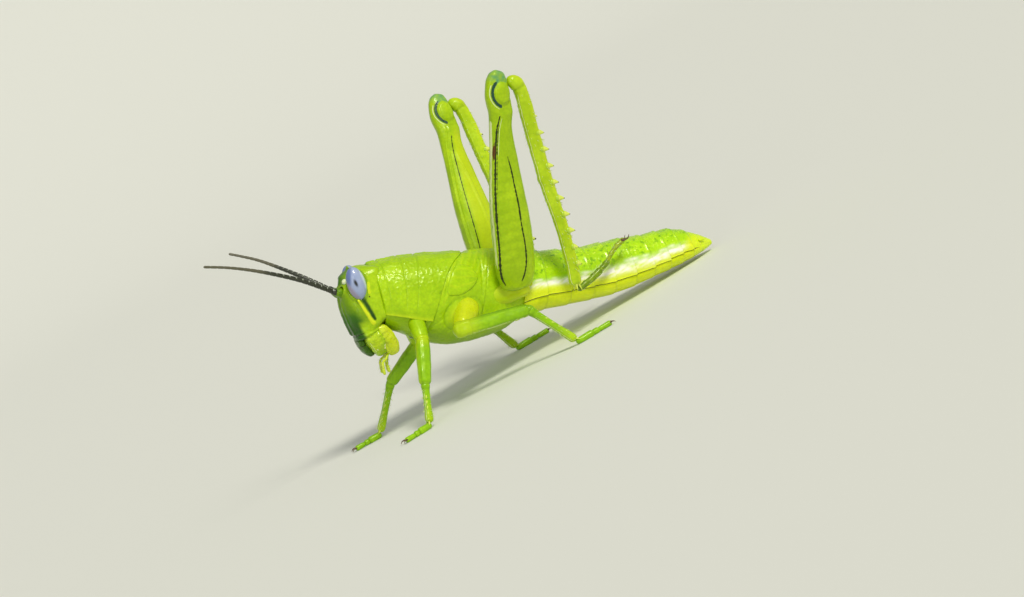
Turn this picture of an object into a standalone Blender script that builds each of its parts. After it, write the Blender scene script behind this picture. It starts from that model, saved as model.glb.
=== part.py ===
"""A short-horned grasshopper nymph, life size, as a still model.

It stands on its front and middle feet, with both hind knees raised over its back
and the hind feet held beside the abdomen. Lengths are millimetres and become
metres where a mesh is made. +X runs from the head to the tail, +Z is up and the
animal's left side faces -Y. The origin is on the floor, under the middle of the
box round the whole animal.
"""

import math

import bmesh
import bpy
from mathutils import Matrix, Vector

MM = 0.001
GAP = 0.12  # the thin cut between neighbouring solids
SOCKET_GAP = 0.22  # room round a coxa where the thorax cuts it
LEFT, RIGHT = -1, 1  # the sign of Y on each side
SIDES = {"left": LEFT, "right": RIGHT}

ANIMAL = "short_horned_grasshopper_nymph"
TRUNK_SIDES = 20
LIMB_SIDES = 8

# One row for each station along the trunk, from the neck to the tail: the back
# line's x and z, the belly line's x and z, half the width, the height of the
# widest place as a share of the way up, and how far the hind edge bulges back.
TRUNK = (
    (-10.45, 19.00, -12.40, 11.80, 3.10, 0.42, 0.0),
    (-7.50, 18.15, -11.60, 10.90, 3.60, 0.42, 0.0),
    (-4.50, 17.20, -10.60, 9.80, 3.95, 0.42, 0.7),
    (-1.50, 16.25, -9.40, 8.55, 4.15, 0.42, 1.9),
    (0.50, 15.25, -7.20, 6.75, 4.20, 0.42, 1.0),
    (2.50, 14.10, -4.30, 5.50, 4.05, 0.41, 0.3),
    (4.70, 12.80, -0.50, 4.65, 3.85, 0.40, 0.0),
    (6.60, 11.60, 3.20, 4.45, 3.60, 0.38, 0.0),
    (8.10, 10.70, 5.20, 4.20, 3.50, 0.36, 0.0),
    (10.50, 9.50, 8.10, 3.30, 3.42, 0.34, 0.0),
    (13.00, 8.45, 11.00, 2.40, 3.35, 0.33, 0.0),
    (15.50, 7.65, 13.80, 1.60, 3.25, 0.33, 0.0),
    (18.00, 6.90, 16.60, 1.10, 3.10, 0.33, 0.0),
    (20.30, 6.05, 19.20, 0.85, 2.90, 0.34, 0.0),
    (22.40, 5.45, 21.50, 0.60, 2.65, 0.35, 0.0),
    (24.10, 4.90, 23.50, 0.45, 2.30, 0.36, 0.0),
    (25.60, 3.95, 25.10, 0.40, 1.90, 0.37, 0.0),
    (27.20, 2.60, 26.80, 0.40, 1.20, 0.38, 0.0),
    (28.55, 1.10, 28.45, 0.60, 0.35, 0.40, 0.0),
)
PRONOTUM = (0, 3)  # the stations that each piece of the trunk lies between
MESOTHORAX = (3, 5)
METATHORAX = (5, 7)
ABDOMEN_START = 7
ABDOMEN_SEGMENTS = 9
TAIL = (16, 18)
LOBE_EDGE = 0.19  # how far up the side the pronotum's lower edge runs
PRONOTUM_RISE = 0.12  # the pronotum stands proud of the plates behind it
STERNUM_RISE = -0.15
TERGITE_RISE = (-0.10, 0.05)  # a tergite's front and hind edges

WING_PAD_REACH = (3.25, 4.6)  # stations along the trunk
WING_PAD_ARC = (50, 86)  # degrees down from the back's mid line
WING_PAD_THICKNESS = 0.5

# The head looks a little to the animal's right: these rows are for a head held
# straight, and everything on it but the antennae is then turned about the neck.
HEAD_TURN = -12  # degrees
NECK = (-11.9, 0.0, 0.0)
# The head, from the crown down: height, face, nape, half the width.
HEAD = (
    (19.50, -13.00, -11.60, 0.70),
    (19.20, -13.60, -11.20, 1.80),
    (18.55, -14.30, -11.10, 2.40),
    (17.60, -14.95, -11.40, 2.75),
    (16.20, -15.50, -11.80, 3.00),
    (14.30, -15.78, -12.25, 3.15),
    (12.90, -15.85, -12.50, 3.05),
    (12.00, -15.85, -12.70, 2.80),
)
EYE_CENTRE = (-12.80, 18.00, 2.70)  # x, z and distance from the middle
EYE_RADII = (1.18, 0.98, 2.02)
EYE_LEAN = 7  # degrees that the eye's top leans back

# Mouthparts as stacks of level sections, from the top down: height, front and
# back, then half the width, or the inner and outer side measured from the middle.
LABRUM = (
    (11.88, -15.85, -14.85, 1.55),
    (10.90, -15.80, -14.75, 1.45),
    (10.00, -15.55, -14.65, 1.15),
    (9.50, -15.20, -14.65, 0.75),
)
LABIUM = (
    (11.70, -12.98, -12.45, 0.72),
    (10.30, -12.95, -12.20, 0.70),
    (9.10, -13.00, -12.45, 0.60),
)
MANDIBLE = (
    (11.88, -14.72, -13.10, 0.10, 2.65),
    (10.90, -14.62, -13.10, 0.10, 2.45),
    (9.90, -14.50, -13.20, 0.10, 1.80),
    (9.15, -14.35, -13.45, 0.10, 1.15),
)
MAXILLA = (
    (11.88, -12.98, -12.45, 0.90, 2.55),
    (11.30, -12.98, -12.22, 0.90, 2.45),
    (10.60, -12.98, -11.90, 0.90, 2.30),
    (9.70, -13.05, -11.90, 0.88, 1.85),
    (8.75, -13.00, -12.40, 0.85, 1.40),
)
PALP_RADIUS = 0.26
PALPS = {
    "maxillary_palp": ((-13.30, 8.58, 1.30), (-14.25, 8.50, 1.50), (-14.75, 8.05, 1.45), (-15.10, 7.10, 1.30)),
    "labial_palp": ((-13.05, 8.78, 0.45), (-13.75, 8.55, 0.55), (-14.15, 7.95, 0.60), (-14.45, 6.95, 0.58)),
}

# Each antenna runs through these points (x, y, z): its first joint, then the whip.
ANTENNAE = {
    "left": (
        (-15.08, -0.72, 17.78),
        (-15.75, -0.85, 18.35),
        (-18.68, -1.90, 21.30),
        (-22.39, -3.00, 24.32),
        (-25.56, -4.00, 26.50),
        (-28.35, -4.60, 28.10),
    ),
    "right": (
        (-14.80, 1.58, 17.80),
        (-15.35, 1.85, 18.65),
        (-17.15, 3.20, 21.35),
        (-19.50, 6.00, 24.70),
        (-21.10, 7.50, 26.40),
        (-22.10, 8.10, 27.30),
    ),
}
SCAPE_RADIUS, FLAGELLUM_RADIUS, ANTENNA_TIP_RADIUS = 0.42, 0.30, 0.25

# A limb's stations: distance along it as a share of its length, then its half
# depth towards the tail and towards the head (one number when they are the same)
# and half its thickness from side to side.
HIND_FEMUR = (
    (-0.026, 1.10, 1.00, 0.50),
    (0.000, 2.10, 1.55, 0.75),
    (0.060, 2.70, 1.95, 0.98),
    (0.190, 2.88, 2.10, 1.30),
    (0.360, 2.55, 2.15, 1.35),
    (0.510, 2.05, 2.05, 1.15),
    (0.650, 1.66, 1.72, 0.95),
    (0.790, 1.35, 1.32, 0.85),
    (0.880, 1.62, 1.22, 0.98),
    (0.960, 1.62, 1.50, 1.12),
    (1.025, 1.42, 1.28, 1.00),
    (1.066, 1.00, 0.80, 0.70),
    (1.086, 0.42, 0.30, 0.35),
)
SLIM_FEMUR = ((0.0, 0.55, 0.50), (0.05, 0.78, 0.70), (0.35, 0.90, 0.80), (0.70, 0.84, 0.72),
              (0.92, 0.72, 0.64), (1.0, 0.44, 0.42))
SLIM_TIBIA = ((0.0, 0.38, 0.38), (0.06, 0.58, 0.54), (0.20, 0.46, 0.44), (0.60, 0.44, 0.42),
              (0.90, 0.52, 0.50), (1.0, 0.40, 0.40))
COXA = ((0.0, 0.70, 0.70), (0.15, 0.95, 0.95), (0.55, 1.0, 1.0), (0.85, 0.80, 0.80), (1.0, 0.45, 0.45))
FOOT = ((0.0, 0.34, 0.34), (0.06, 0.48, 0.48), (0.26, 0.46, 0.50), (0.36, 0.36, 0.38), (0.46, 0.44, 0.46),
        (0.56, 0.34, 0.36), (0.78, 0.30, 0.32), (0.90, 0.38, 0.42), (1.0, 0.24, 0.30))

# x, distance from the middle, z; the right thigh is swung back a little more.
HIND_HIP = {"left": (2.50, 4.80, 8.80), "right": (3.65, 4.80, 8.80)}
HIND_KNEE = {"left": (9.85, 10.50, 29.95), "right": (9.70, 10.50, 29.95)}
HIND_COXA = {
    "left": ((-0.40, 3.60, 8.15), (3.40, 4.55, 7.00)),
    "right": ((-0.10, 3.60, 8.20), (4.00, 4.55, 7.12)),
}
HIND_COXA_RADIUS = 0.92
HIND_TIBIA = (
    (11.95, 10.55, 30.35),
    (12.20, 10.55, 29.85),
    (12.35, 10.45, 29.00),
    (12.20, 10.20, 27.80),
    (11.72, 9.65, 25.40),
    (10.98, 8.60, 20.60),
    (10.50, 7.95, 17.30),
    (10.12, 7.05, 12.90),
    (9.68, 6.40, 9.85),
    (9.15, 5.75, 6.80),
    (8.85, 5.45, 5.30),
)
HIND_TIBIA_WIDTH = ((0.0, 0.35), (0.02, 0.72), (0.055, 0.88), (0.11, 0.76), (0.5, 0.70), (0.9, 0.60),
                    (0.975, 0.74), (1.0, 0.45))
TIBIA_FLATNESS = 0.84  # its thickness over its depth
TIBIA_LEAN = {"left": 0.0, "right": -0.22}  # how far its knee end stands off, in x
SPINE_ROWS = 9
SPINE_START, SPINE_PITCH, SPINE_BASE, SPINE_LENGTH = 7.2, 1.95, 0.5, 1.0
HIND_FOOT = (
    (8.80, 5.30, 4.75),
    (10.10, 5.15, 4.85),
    (11.80, 4.95, 5.15),
    (13.60, 4.75, 5.65),
    (15.00, 4.60, 6.30),
    (16.10, 4.50, 7.05),
    (17.10, 4.45, 7.25),
)

# Joint positions (x, distance from the middle, z) of the four legs that stand,
# and how far past the hip the thigh starts and past the knee the shin starts.
MIDDLE_LEG = {
    "coxa": (-4.20, 3.20, 9.20), "hip": (-5.25, 6.40, 7.60), "knee": (1.20, 9.00, 6.15),
    "ankle": (3.85, 10.40, 0.80), "toe": (8.70, 10.60, 0.30), "starts": (0.98, 0.52),
}
STANDING_LEGS = {
    "middle": {"left": MIDDLE_LEG, "right": MIDDLE_LEG},
    "front": {
        "left": {
            "coxa": (-9.90, 2.60, 10.10), "hip": (-10.10, 4.50, 8.95), "knee": (-12.90, 6.40, 4.55),
            "ankle": (-14.75, 7.40, 0.85), "toe": (-18.50, 7.90, 0.30), "starts": (0.52, 0.18),
        },
        "right": {
            "coxa": (-9.30, 2.60, 10.10), "hip": (-8.20, 4.00, 7.75), "knee": (-13.20, 5.40, 5.15),
            "ankle": (-16.60, 6.60, 0.85), "toe": (-20.30, 7.10, 0.30), "starts": (0.86, 0.30),
        },
    },
}
COXA_RADIUS = {"middle": 1.35, "front": 1.15}
SLIM_SCALE = {"middle": 1.0, "front": 0.92}  # the front legs are a little slimmer
HEEL_HEIGHT = 0.34
HEEL_REACH = (0.12, 0.42)  # from the ankle to the heel, along the foot and the tibia
CLAW_LENGTH = 0.9

# Name, sRGB colour, roughness.
COLOURS = {
    "green cuticle": ((157, 196, 4), 0.42),
    "shaded green cuticle": ((118, 158, 10), 0.42),
    "yellow green cuticle": ((165, 196, 20), 0.38),
    "dark green cuticle": ((56, 88, 8), 0.40),
    "blue grey eye": ((123, 136, 150), 0.25),
    "black antenna": ((31, 35, 6), 0.55),
}


def linear(channel):
    """An sRGB channel from 0 to 255, as linear light."""
    share = channel / 255
    return share / 12.92 if share <= 0.04045 else ((share + 0.055) / 1.055) ** 2.4


def material(name):
    """The named material, made the first time it is asked for."""
    if name in bpy.data.materials:
        return bpy.data.materials[name]
    colour, roughness = COLOURS[name]
    made = bpy.data.materials.new(name)
    made.use_nodes = True
    shader = made.node_tree.nodes["Principled BSDF"]
    shader.inputs["Base Color"].default_value = (*map(linear, colour), 1.0)
    shader.inputs["Roughness"].default_value = roughness
    shader.inputs["Metallic"].default_value = 0.0
    return made


def clear_scene():
    for old in list(bpy.data.objects):
        bpy.data.objects.remove(old, do_unlink=True)


def collection(name):
    made = bpy.data.collections.new(name)
    bpy.context.scene.collection.children.link(made)
    return made


def at(point, side):
    """A point given as (x, distance from the middle, z), on one side."""
    return Vector((point[0], side * point[1], point[2]))


def curve_through(rows, place):
    """Catmull-Rom interpolation of rows of numbers; place counts rows."""
    first = min(max(int(place), 0), len(rows) - 2)
    share = place - first
    before = rows[max(first - 1, 0)]
    after = rows[min(first + 2, len(rows) - 1)]
    found = []
    for a, b, c, d in zip(before, rows[first], rows[first + 1], after):
        bend = 2 * b + (c - a) * share + (2 * a - 5 * b + 4 * c - d) * share**2
        found.append((bend + (3 * b - a - 3 * c + d) * share**3) / 2)
    return found


def straight_between(rows, share):
    """Linear interpolation of rows whose first number is the share along."""
    for low, high in zip(rows, rows[1:]):
        if share <= high[0]:
            part = (share - low[0]) / (high[0] - low[0])
            return [a + (b - a) * part for a, b in zip(low[1:], high[1:])]
    return list(rows[-1][1:])


def oval(centre, across, up, half_across, half_up, half_down, sides, square=0.9):
    """A ring round a centre, squarer than an ellipse where square is under 1."""
    ring = []
    for k in range(sides):
        angle = 2 * math.pi * k / sides
        c, s = math.cos(angle), math.sin(angle)
        height = (half_up if c > 0 else half_down) * math.copysign(abs(c) ** square, c)
        ring.append(centre + up * height + across * half_across * math.copysign(abs(s) ** square, s))
    return ring


def loft(rings, hubs=()):
    """A closed bmesh through rings that have the same number of points. Its two
    ends are flat, or fans round the hubs, which lets bulging ends lie together."""
    bm = bmesh.new()
    placed = [[bm.verts.new(point * MM) for point in ring] for ring in rings]
    for near, far in zip(placed, placed[1:]):
        for k in range(len(near)):
            after = (k + 1) % len(near)
            bm.faces.new((near[k], near[after], far[after], far[k]))
    ends = [bm.faces.new(placed[0]), bm.faces.new(placed[-1])]
    for end, hub in zip(ends, hubs):
        for middle in bmesh.ops.poke(bm, faces=[end])["verts"]:
            middle.co = hub * MM
    bmesh.ops.recalc_face_normals(bm, faces=bm.faces)
    return bm


def add_solid(name, bm, look, home, origin=(0, 0, 0)):
    """Makes an object of a bmesh, with its own origin at a joint."""
    bmesh.ops.translate(bm, verts=bm.verts, vec=-Vector(origin) * MM)
    mesh = bpy.data.meshes.new(name)
    bm.to_mesh(mesh)
    bm.free()
    mesh.shade_smooth()
    mesh.set_sharp_from_angle(angle=math.radians(50))
    made = bpy.data.objects.new(name, mesh)
    made.location = Vector(origin) * MM
    mesh.materials.append(material(look))
    home.objects.link(made)
    return made


def cut_by(piece, cutter):
    cut = piece.modifiers.new("cut by " + cutter.name, "BOOLEAN")
    cut.operation = "DIFFERENCE"
    cut.solver = "EXACT"
    cut.object = cutter


def hide_cutter(cutter):
    cutter.hide_render = True
    cutter.display_type = "WIRE"


def trunk_section(station, rise=0.0, shift=0.0):
    """The trunk's section at a station: a function from an angle down from the
    back to a point, one that gives the height share there, and its middle."""
    back_x, back_z, belly_x, belly_z, half_width, waist, bulge = curve_through(TRUNK, station)
    back, belly = Vector((back_x, 0, back_z)), Vector((belly_x, 0, belly_z))
    upward = (back - belly).normalized()
    tailward = Vector((upward.z, 0, -upward.x))
    back, belly = back + upward * rise, belly - upward * rise

    def height(angle):
        c = math.cos(angle)
        return waist + (1 - waist) * c**0.92 if c > 0 else waist - waist * abs(c) ** 0.75

    def point(angle):
        c, s = math.cos(angle), math.sin(angle)
        across = (half_width + rise) * math.copysign(abs(s) ** 0.86, s)
        swept = shift + bulge * max(c, 0) ** 3
        return belly + (back - belly) * height(angle) + Vector((0, across, 0)) + tailward * swept

    return point, height, belly + (back - belly) * waist + tailward * shift


def angle_at_height(height, wanted):
    """The angle on the near side where a section reaches a height share."""
    low, high = 0.0, math.pi
    for _ in range(40):
        middle = (low + high) / 2
        low, high = (middle, high) if height(middle) > wanted else (low, middle)
    return low


def trunk_ring(station, rise=0.0, shift=0.0):
    point = trunk_section(station, rise, shift)[0]
    return [point(2 * math.pi * k / TRUNK_SIDES) for k in range(TRUNK_SIDES)]


def stations(ends, steps):
    """Even steps between two stations, the end ones drawn in by half a gap."""
    for k in range(steps + 1):
        shift = GAP / 2 if k == 0 else -GAP / 2 if k == steps else 0.0
        yield ends[0] + (ends[1] - ends[0]) * k / steps, k / steps, shift


def hubs_of(ends):
    """The middles of the two end sections of a piece between two stations."""
    return [trunk_section(end, 0.0, shift)[2] for end, shift in zip(ends, (GAP / 2, -GAP / 2))]


def pronotum_rings():
    rings = []
    for station, _, shift in stations(PRONOTUM, 6):
        point, height, _ = trunk_section(station, PRONOTUM_RISE, shift)
        lowest = angle_at_height(height, LOBE_EDGE)
        steps = TRUNK_SIDES - 4
        rings.append([point(lowest * (2 * k / steps - 1)) for k in range(steps + 1)])
    return rings


def prosternum_rings():
    rings = []
    for station, _, shift in stations(PRONOTUM, 4):
        point, height, _ = trunk_section(station, STERNUM_RISE, shift)
        highest = angle_at_height(height, LOBE_EDGE - 0.03)
        steps = 8
        rings.append([point(highest + (2 * math.pi - 2 * highest) * k / steps) for k in range(steps + 1)])
    return rings


def wing_pad_rings(side):
    """A plate that lies along the side of the thorax, rounded at its hind end."""
    low, high = (math.radians(angle) for angle in WING_PAD_ARC)
    rings = []
    for station, share, _ in stations(WING_PAD_REACH, 5):
        inner = trunk_section(station, GAP)[0]
        outer = trunk_section(station, GAP + WING_PAD_THICKNESS)[0]
        spread = 1 - 0.75 * share**3
        middle = (low + high) / 2
        arc = [side * (middle + (high - low) / 2 * spread * (2 * k / 4 - 1)) for k in range(5)]
        rings.append([outer(angle) for angle in arc] + [inner(angle) for angle in reversed(arc)])
    return rings


def build_trunk(home):
    add_solid("pronotum", loft(pronotum_rings(), hubs_of(PRONOTUM)), "green cuticle", home)
    add_solid("prosternum", loft(prosternum_rings()), "shaded green cuticle", home)
    for name, ends in (("mesothorax", MESOTHORAX), ("metathorax", METATHORAX)):
        rings = [trunk_ring(station, 0.0, shift) for station, _, shift in stations(ends, 3)]
        add_solid(name, loft(rings, hubs_of(ends)), "green cuticle", home)
    for name, side in SIDES.items():
        add_solid("wing_pad_" + name, loft(wing_pad_rings(side)), "yellow green cuticle", home)
    front_rise, hind_rise = TERGITE_RISE
    for number in range(1, ABDOMEN_SEGMENTS + 1):
        start = ABDOMEN_START + number - 1
        rings = [
            trunk_ring(station, front_rise + (hind_rise - front_rise) * share, shift)
            for station, share, shift in stations((start, start + 1), 2)
        ]
        add_solid(f"abdomen_{number}", loft(rings), "green cuticle", home)
    rings = [trunk_ring(station, front_rise, shift) for station, _, shift in stations(TAIL, 4)]
    add_solid("abdomen_tip", loft(rings), "yellow green cuticle", home)


def level_stack(rows, sides=12, square=0.7):
    """A loft of level ovals from rows of height, front, back and half width."""
    rings = []
    for z, front, back, half_width in rows:
        centre = Vector(((front + back) / 2, 0, z))
        half_depth = (back - front) / 2
        ahead, across = Vector((-1, 0, 0)), Vector((0, 1, 0))
        rings.append(oval(centre, across, ahead, half_width, half_depth, half_depth, sides, square))
    return loft(rings)


def paired_stack(rows, side):
    """A level stack beside the middle, from rows that end in its two sides."""
    rings = []
    for z, front, back, inner, outer in rows:
        centre = Vector(((front + back) / 2, side * (inner + outer) / 2, z))
        half_depth = (back - front) / 2
        ahead, across = Vector((-1, 0, 0)), Vector((0, 1, 0))
        rings.append(oval(centre, across, ahead, (outer - inner) / 2, half_depth, half_depth, 10, 0.6))
    return loft(rings)


def eye_mesh(side, swell=0.0):
    bm = bmesh.new()
    bmesh.ops.create_uvsphere(bm, u_segments=16, v_segments=12, radius=1.0)
    radii = [(radius + swell) * MM for radius in EYE_RADII]
    bmesh.ops.scale(bm, vec=radii, verts=bm.verts)
    x, z, out = EYE_CENTRE
    lean = math.radians(EYE_LEAN)
    for vert in bm.verts:
        vert.co.x += math.tan(lean) * vert.co.z
    bmesh.ops.translate(bm, vec=Vector((x, side * out, z)) * MM, verts=bm.verts)
    return bm


def turned(bm):
    """The same bmesh, turned with the head about the neck."""
    turn = Matrix.Rotation(math.radians(HEAD_TURN), 3, "Z")
    bmesh.ops.rotate(bm, cent=Vector(NECK) * MM, matrix=turn, verts=bm.verts)
    return bm


def build_head(home, cutters):
    head = add_solid("head", turned(level_stack(HEAD, TRUNK_SIDES, 0.8)), "dark green cuticle", home)
    add_solid("clypeus_labrum", turned(level_stack(LABRUM)), "dark green cuticle", home)
    add_solid("labium", turned(level_stack(LABIUM)), "yellow green cuticle", home)
    for name, side in SIDES.items():
        socket = add_solid("eye_socket_" + name, turned(eye_mesh(side, GAP)), "blue grey eye", cutters)
        hide_cutter(socket)
        cut_by(head, socket)
        add_solid("eye_" + name, turned(eye_mesh(side)), "blue grey eye", home)
        add_solid("mandible_" + name, turned(paired_stack(MANDIBLE, side)), "dark green cuticle", home)
        add_solid("maxilla_" + name, turned(paired_stack(MAXILLA, side)), "yellow green cuticle", home)
        for palp, points in PALPS.items():
            path = [Vector((x, side * out, z)) for x, z, out in points]
            radii = [PALP_RADIUS * share for share in (0.9, 1.0, 1.05, 1.0)]
            add_solid(f"{palp}_{name}", turned(tube(path, radii, 6)), "yellow green cuticle", home)
        path, radii = antenna_path([Vector(point) for point in ANTENNAE[name]])
        add_solid("antenna_" + name, tube(path, radii, 8), "black antenna", home, path[0])


def frame_along(path, k, hint):
    """The directions along, across and up of a path at one of its points."""
    along = (path[min(k + 1, len(path) - 1)] - path[max(k - 1, 0)]).normalized()
    across = (hint - along * hint.dot(along)).normalized()
    return along, across, across.cross(along)


def tube(path, radii, sides, flatness=1.0):
    """A loft round a path; flatness narrows it from side to side."""
    rings = []
    for k, (point, radius) in enumerate(zip(path, radii)):
        _, across, up = frame_along(path, k, Vector((0, 1, 0)))
        rings.append(oval(point, across, up, radius * flatness, radius, radius, sides, 1.0))
    return loft(rings)


def antenna_path(points):
    """The path of an antenna and its radius: a stout first joint, then the whip."""
    base, first, whip = points[0], points[1], points[1:]
    steps = 3 * (len(whip) - 1)
    path = [base, base.lerp(first, 0.15), base.lerp(first, 0.85), first]
    radii = [0.75 * SCAPE_RADIUS, SCAPE_RADIUS, SCAPE_RADIUS, FLAGELLUM_RADIUS]
    for k in range(1, steps + 1):
        path.append(Vector(curve_through(whip, k / 3)))
        radii.append(FLAGELLUM_RADIUS + (ANTENNA_TIP_RADIUS - FLAGELLUM_RADIUS) * k / steps)
    return path, radii


def limb(base, end, rows, scale=1.0, sides=LIMB_SIDES, square=0.9):
    """The rings of a straight limb with the half depths and thickness of its rows."""
    along = (end - base).normalized()
    hint = Vector((0, 1, 0))
    across = (hint - along * hint.dot(along)).normalized()
    up = across.cross(along)
    rings = []
    for share, *halves in rows:
        behind, ahead, thick = halves if len(halves) == 3 else (halves[0], halves[0], halves[1])
        centre = base.lerp(end, share)
        rings.append(oval(centre, across, up, thick * scale, behind * scale, ahead * scale, sides, square))
    return rings


def flatten_sole(rings):
    """Presses whatever is under the floor up to it, so the foot has a flat."""
    return [[Vector((p.x, p.y, max(p.z, 0.0))) for p in ring] for ring in rings]


def add_spikes(bm, faces, length, lean):
    """Turns each face into a spike, whose tip also moves by lean."""
    for face in faces:
        tip = bmesh.ops.poke(bm, faces=[face], offset=length * MM)["verts"]
        bmesh.ops.translate(bm, verts=tip, vec=lean * MM)


def faces_facing(bm, direction, near, within):
    """The side faces round a point whose normals lean most to a direction."""
    close = [f for f in bm.faces if (f.calc_center_median() - near * MM).length < within * MM]
    return max(close, key=lambda f: f.normal.dot(direction))


def foot_mesh(rings, heading):
    """A foot: three padded joints and a pair of claws."""
    bm = loft(flatten_sole(rings))
    bm.normal_update()
    last = sum(rings[-2], Vector()) / len(rings[-2])
    across = Vector((0, 1, 0))
    for way in (-1, 1):
        facing = (across * way + Vector((0, 0, 0.6))).normalized()
        claw = faces_facing(bm, facing, last, 0.75)
        add_spikes(bm, [claw], 0.5 * CLAW_LENGTH, heading * CLAW_LENGTH * 0.8 - across * way * 0.1)
    return bm


def build_standing_leg(row, name, side, home, trunk):
    numbers = dict(STANDING_LEGS[row][name])
    thigh_start, shin_start = numbers.pop("starts")
    joints = {joint: at(point, side) for joint, point in numbers.items()}
    scale = SLIM_SCALE[row]
    label = f"{row}_{name}"
    coxa = limb(joints["coxa"], joints["hip"], COXA, COXA_RADIUS[row])
    cut_by(add_solid("coxa_" + label, loft(coxa), "yellow green cuticle", home, joints["coxa"]), trunk)
    hip = joints["hip"] + (joints["knee"] - joints["hip"]).normalized() * thigh_start
    femur = limb(hip, joints["knee"], SLIM_FEMUR, scale)
    add_solid("femur_" + label, loft(femur), "shaded green cuticle", home, hip)
    down = (joints["ankle"] - joints["knee"]).normalized()
    knee = joints["knee"] + down * shin_start
    tibia = limb(knee, joints["ankle"], SLIM_TIBIA, scale)
    add_solid("tibia_" + label, loft(tibia), "green cuticle", home, knee)
    heading = (joints["toe"] - joints["ankle"]).normalized()
    heel = joints["ankle"] + heading * HEEL_REACH[0] + down * HEEL_REACH[1]
    heel.z = HEEL_HEIGHT
    foot = limb(heel, joints["toe"], FOOT)
    add_solid("tarsus_" + label, foot_mesh(foot, heading), "green cuticle", home, heel)


def hind_tibia_mesh(side, lean):
    """The hind shin, with a closely spaced pair of rings for each row of spines."""
    high, low = HIND_TIBIA[0][2], HIND_TIBIA[-1][2]
    points = [at((x + lean * (z - low) / (high - low), out, z), side) for x, out, z in HIND_TIBIA]
    fine = [Vector(curve_through(points, k / 4)) for k in range(4 * (len(points) - 1) + 1)]
    reach = [0.0]
    for near, far in zip(fine, fine[1:]):
        reach.append(reach[-1] + (far - near).length)
    length = reach[-1]
    ends = [share * length for share, _ in HIND_TIBIA_WIDTH if share < 0.2 or share > 0.93]
    rows = [SPINE_START + SPINE_PITCH * k for k in range(SPINE_ROWS)]
    places = sorted(ends + rows + [row + SPINE_BASE for row in rows])
    path, radii = [], []
    for place in places:
        k = next(i for i in range(1, len(fine)) if reach[i] >= place - 1e-6)
        path.append(fine[k - 1].lerp(fine[k], (place - reach[k - 1]) / (reach[k] - reach[k - 1])))
        radii.append(straight_between(HIND_TIBIA_WIDTH, place / length)[0])
    bm = tube(path, radii, LIMB_SIDES, TIBIA_FLATNESS)
    bm.normal_update()
    for row in rows:
        k = places.index(row)
        centre = (path[k] + path[k + 1]) / 2
        along = (path[k + 1] - path[k]).normalized()
        for way in (-1, 1):
            facing = Vector((0.8, 0.6 * way, 0)).normalized()
            spine = faces_facing(bm, facing, centre, 0.78)
            add_spikes(bm, [spine], SPINE_LENGTH, along * 0.25)
    return bm, path[0]


def build_hind_leg(name, side, home, trunk):
    label = f"hind_{name}"
    inner, outer = (at(point, side) for point in HIND_COXA[name])
    coxa = limb(inner, outer, COXA, HIND_COXA_RADIUS, LIMB_SIDES)
    cut_by(add_solid("coxa_" + label, loft(coxa), "yellow green cuticle", home, inner), trunk)
    hip, knee = at(HIND_HIP[name], side), at(HIND_KNEE[name], side)
    femur = limb(hip, knee, HIND_FEMUR, 1.0, 12, 0.85)
    add_solid("femur_" + label, loft(femur), "green cuticle", home, hip)
    tibia, knee_joint = hind_tibia_mesh(side, TIBIA_LEAN[name])
    add_solid("tibia_" + label, tibia, "green cuticle", home, knee_joint)
    path = [at(point, side) for point in HIND_FOOT]
    rings = []
    for k, point in enumerate(path):
        _, across, up = frame_along(path, k, Vector((0, 1, 0)))
        wide, thick = straight_between(FOOT, k / (len(path) - 1))
        rings.append(oval(point, across, up, thick * 0.9, wide, wide, LIMB_SIDES, 0.9))
    heading = (path[-1] - path[-2]).normalized()
    add_solid("tarsus_" + label, foot_mesh(rings, heading), "green cuticle", home, path[0])


def build():
    clear_scene()
    home, cutters = collection(ANIMAL), collection("cutters")
    trunk_rings = [trunk_ring(k / 2, SOCKET_GAP) for k in range(2 * METATHORAX[1] + 1)]
    trunk = add_solid("trunk_cutter", loft(trunk_rings), "green cuticle", cutters)
    hide_cutter(trunk)
    build_head(home, cutters)
    build_trunk(home)
    for name, side in SIDES.items():
        for row in STANDING_LEGS:
            build_standing_leg(row, name, side, home, trunk)
        build_hind_leg(name, side, home, trunk)


build()
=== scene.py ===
"""A short-horned grasshopper nymph, life size: its looks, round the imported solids.

Lengths are millimetres and become metres where a mesh is made. +X runs from the
head to the tail, +Z is up and the animal's left side faces -Y. Each piece is a
grid bent to the shape of one plate, limb or joint, and carries its markings as
numbers on its points, which the materials read.
"""

import functools
import math
import random

import bmesh
import bpy
from mathutils import Matrix, Vector, noise


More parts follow.
